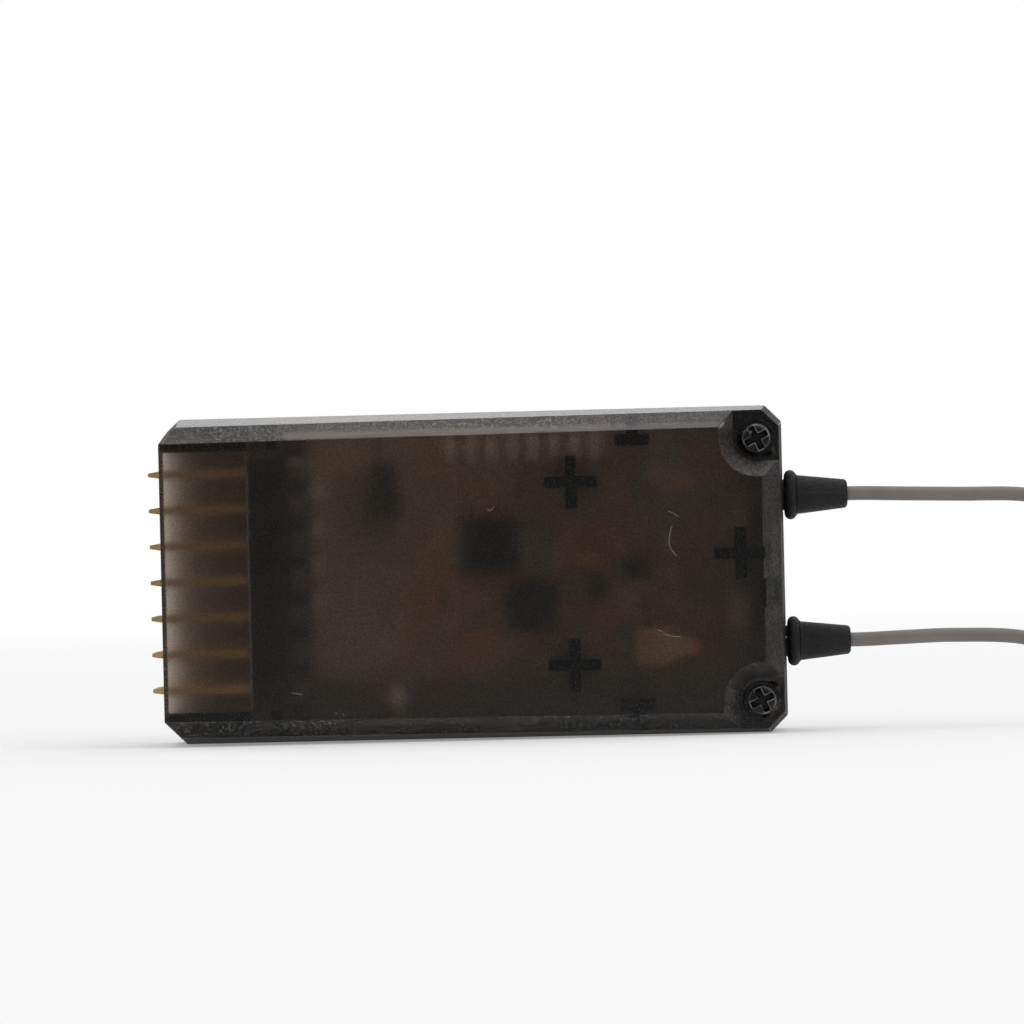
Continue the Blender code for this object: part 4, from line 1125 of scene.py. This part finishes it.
# Lint and small scratches that lie on the case, as the photograph shows them
lintSettings = {
    "width": 0.022 * mm,
    "lift": 0.008 * mm,
    "sides": 8,
    # X and Z of the points of each fibre, in millimetres
    "fibres": (
        ((12.12, 14.72), (11.97, 14.24), (11.89, 13.68), (12.01, 13.11), (12.41, 12.62)),
        ((11.87, 15.78), (12.21, 15.63), (12.63, 15.34)),
        ((10.92, 7.47), (11.12, 7.41), (11.31, 7.34)),
        ((11.38, 7.17), (11.94, 7.02), (12.52, 6.94)),
        ((-0.8, 16.29), (-0.6, 16.08), (-0.32, 16.36)),
        ((-14.77, 3.67), (-14.41, 3.6), (-14.0, 3.54)),
        ((-11.75, 2.23), (-11.69, 2.17), (-11.63, 2.11)),
        ((-11.3, 2.22), (-11.2, 2.07), (-11.06, 1.97)),
    ),
}


# Thin round threads: each follows a smooth curve through its points, laid on the near face
def addLint(settings):
    half = settings["width"] / 2
    points, faces, count = [], [], 0
    for fibre in settings["fibres"]:
        route = smoothRoute([(x * mm, caseLow[1] - settings["lift"], z * mm) for x, z in fibre])
        line = evenly(route, 2 * settings["width"])
        ring = lintTube(line, half, settings["sides"])
        faces += ringFaces(len(line), ring.shape[1], offset=count)
        count += len(line) * ring.shape[1]
        points.append(ring.reshape(-1, 3))
    addMesh("surface_lint", np.concatenate(points), faces, materials["lint"])


# A round section along a line that is nowhere along Y
def lintTube(line, half, sides):
    ahead = np.gradient(line, axis=0)
    ahead /= np.linalg.norm(ahead, axis=1, keepdims=True)
    outwards = np.array((0.0, -1.0, 0.0))
    beside = np.cross(ahead, outwards)
    turn = np.linspace(0, 2 * math.pi, sides, endpoint=False)[None, :, None]
    return line[:, None] + half * (np.cos(turn) * beside[:, None] + np.sin(turn) * outwards)


addLint(lintSettings)
print("lint laid")


# Finishes of the solids that stay as they are
solidFinishes = {
    # start of the node's name, and its finish
    "header_block": "header", "pin_": "gold", "connector_board": "darkBoard", "main_board": "board",
    "processor_chip": "chip", "radio_chip": "chip", "power_inductor": "chip", "crystal": "can",
    "amber_capacitor": "ceramic", "antenna_tail": "coax",
}


def finishSolids():
    for name, node in nodes.items():
        for prefix, finishName in solidFinishes.items():
            if name.startswith(prefix):
                node.data.materials.clear()
                node.data.materials.append(materials[finishName])


finishSolids()
print("solids finished")


# Floor, backdrop and light
studioSettings = {
    "floorColour": (0.86, 0.86, 0.86),
    "floorRoughness": 0.9,
    "halfWidth": 1.2,
    "nearEdge": -1.5,
    "depth": 1.6,
    "sweepRadius": 0.5,
    "sweepSteps": 25,
    "height": 2.0,
    # In gloss the floor fades to dark between these places in Y and X, as in a room that is dark in front
    "darkFrom": -0.008,
    "darkTo": -0.035,
    "darkShare": 0.88,
    "rightDark": (0.025, 0.08, 0.0, 0.75),
    "whiteFrom": 0.06,  # the floor turns to plain white between these distances behind the case
    "whiteTo": 0.5,
    "whiteNear": 0.25,  # share of white nearer than that
    "whiteAround": (0.25, 0.95),  # and all round the case for the camera, so that no edge shows
    "skyStrength": 0.78,  # for rays that only light
    # What gloss and glass see of the sky: where it fades along an axis, and its share on the two sides
    "seenSky": (("Y", -0.6, 0.05, 0.1, 1.0), ("X", 0.35, 0.9, 1.0, 0.2), ("Z", 0.4, 0.9, 1.0, 0.8)),
    "lamps": (
        # place, size, power in watts
        ((-0.4, -0.35, 0.5), 0.6, 0.5),
        ((0.35, -0.35, 0.6), 0.6, 1.1),
        ((0.0, 0.1, 0.7), 0.6, 0.9),
    ),
}


# One for rays that show the background: from the camera, or by way of gloss or glass
def seenRays(tree):
    rays = addNode(tree, "LightPath").outputs
    seen = arithmetic(tree, "MAXIMUM", rays["Is Camera Ray"], rays["Is Glossy Ray"])
    return arithmetic(tree, "MAXIMUM", seen, rays["Is Transmission Ray"])


# The floor runs back level and turns up in a quarter circle to the backdrop
def addSweep(settings):
    reach, radius = settings["depth"], settings["sweepRadius"]
    turn = np.radians(np.linspace(-90, 0, settings["sweepSteps"]))
    y = np.concatenate([[settings["nearEdge"]], reach + radius * np.cos(turn), [reach + radius]])
    z = np.concatenate([[0.0], radius + radius * np.sin(turn), [settings["height"]]])
    x = np.array([-settings["halfWidth"], settings["halfWidth"]])
    points = np.stack([np.broadcast_to(x, (len(y), 2)), np.broadcast_to(y[:, None], (len(y), 2)),
                       np.broadcast_to(z[:, None], (len(y), 2))], axis=-1)
    index = np.arange(len(y) * 2).reshape(-1, 2)
    faces = np.stack([index[:-1, 0], index[:-1, 1], index[1:, 1], index[1:, 0]], axis=-1).tolist()
    mesh = bpy.data.meshes.new("sweep")
    mesh.from_pydata(points.reshape(-1, 3).tolist(), [], faces)
    mesh.shade_smooth()
    mesh.materials.append(floorFinish(settings))
    sweep = bpy.data.objects.new("sweep", mesh)
    bpy.context.scene.collection.objects.link(sweep)


# Matt floor that is mixed with plain white light where the camera or gloss sees it far from the case
def floorFinish(settings):
    material, tree, shader = newMaterial("paleFloor")
    shader.inputs["Roughness"].default_value = settings["floorRoughness"]
    rays = addNode(tree, "LightPath").outputs
    place = objectPlace(tree)
    axes = splitAxes(tree, place)
    front = mapValue(tree, axes["Y"], settings["darkTo"], settings["darkFrom"], settings["darkShare"], 0.0)
    right = mapValue(tree, axes["X"], *settings["rightDark"])
    dark = times(tree, arithmetic(tree, "MAXIMUM", front, right), rays["Is Glossy Ray"])
    tone = mixColour(tree, dark, settings["floorColour"], (0.0, 0.0, 0.0))
    tree.links.new(tone, shader.inputs["Base Color"])
    far = mapValue(tree, axes["Y"], settings["whiteFrom"], settings["whiteTo"], settings["whiteNear"], 1.0)
    around = addNode(tree, "VectorMath", {"operation": "LENGTH"})
    tree.links.new(place, around.inputs[0])
    apart = mapValue(tree, around.outputs["Value"], *settings["whiteAround"])
    apart = times(tree, apart, rays["Is Camera Ray"])
    share = arithmetic(tree, "MAXIMUM", times(tree, far, seenRays(tree)), apart)
    chosen = addNode(tree, "MixShader")
    tree.links.new(share, chosen.inputs[0])
    tree.links.new(shader.outputs[0], chosen.inputs[1])
    tree.links.new(addNode(tree, "Emission").outputs[0], chosen.inputs[2])
    tree.links.new(chosen.outputs[0], tree.nodes["Material Output"].inputs["Surface"])
    return material


def addLamps(settings):
    for place, size, power in settings["lamps"]:
        lamp = bpy.data.lights.new("softLamp", "AREA")
        lamp.size = size
        lamp.energy = power
        holder = bpy.data.objects.new("softLamp", lamp)
        bpy.context.scene.collection.objects.link(holder)
        holder.location = place
        aim = -np.array(place) / np.linalg.norm(place)
        holder.rotation_euler = (math.acos(-aim[2]), 0, math.atan2(aim[1], aim[0]) - math.pi / 2)


# White for the camera, shaded towards the front, right and top for gloss and glass, and otherwise even
def addSky(settings):
    world = bpy.data.worlds.new("paleSky")
    bpy.context.scene.world = world
    world.use_nodes = True
    tree = world.node_tree
    sky = tree.nodes["Background"]
    sky.inputs["Color"].default_value = (1.0, 1.0, 1.0, 1.0)
    axes = splitAxes(tree, addNode(tree, "TexCoord").outputs["Generated"])
    lit = seen = seenRays(tree)
    for axis, *span in settings["seenSky"]:
        lit = times(tree, lit, mapValue(tree, axes[axis], *span))
    unseen = times(tree, arithmetic(tree, "SUBTRACT", 1.0, seen), settings["skyStrength"])
    direct = addNode(tree, "LightPath").outputs["Is Camera Ray"]
    strength = arithmetic(tree, "MAXIMUM", plus(tree, lit, unseen), direct)
    tree.links.new(strength, sky.inputs["Strength"])


addSweep(studioSettings)
addLamps(studioSettings)
addSky(studioSettings)
bpy.context.scene.view_settings.view_transform = "Standard"
print("studio lit")
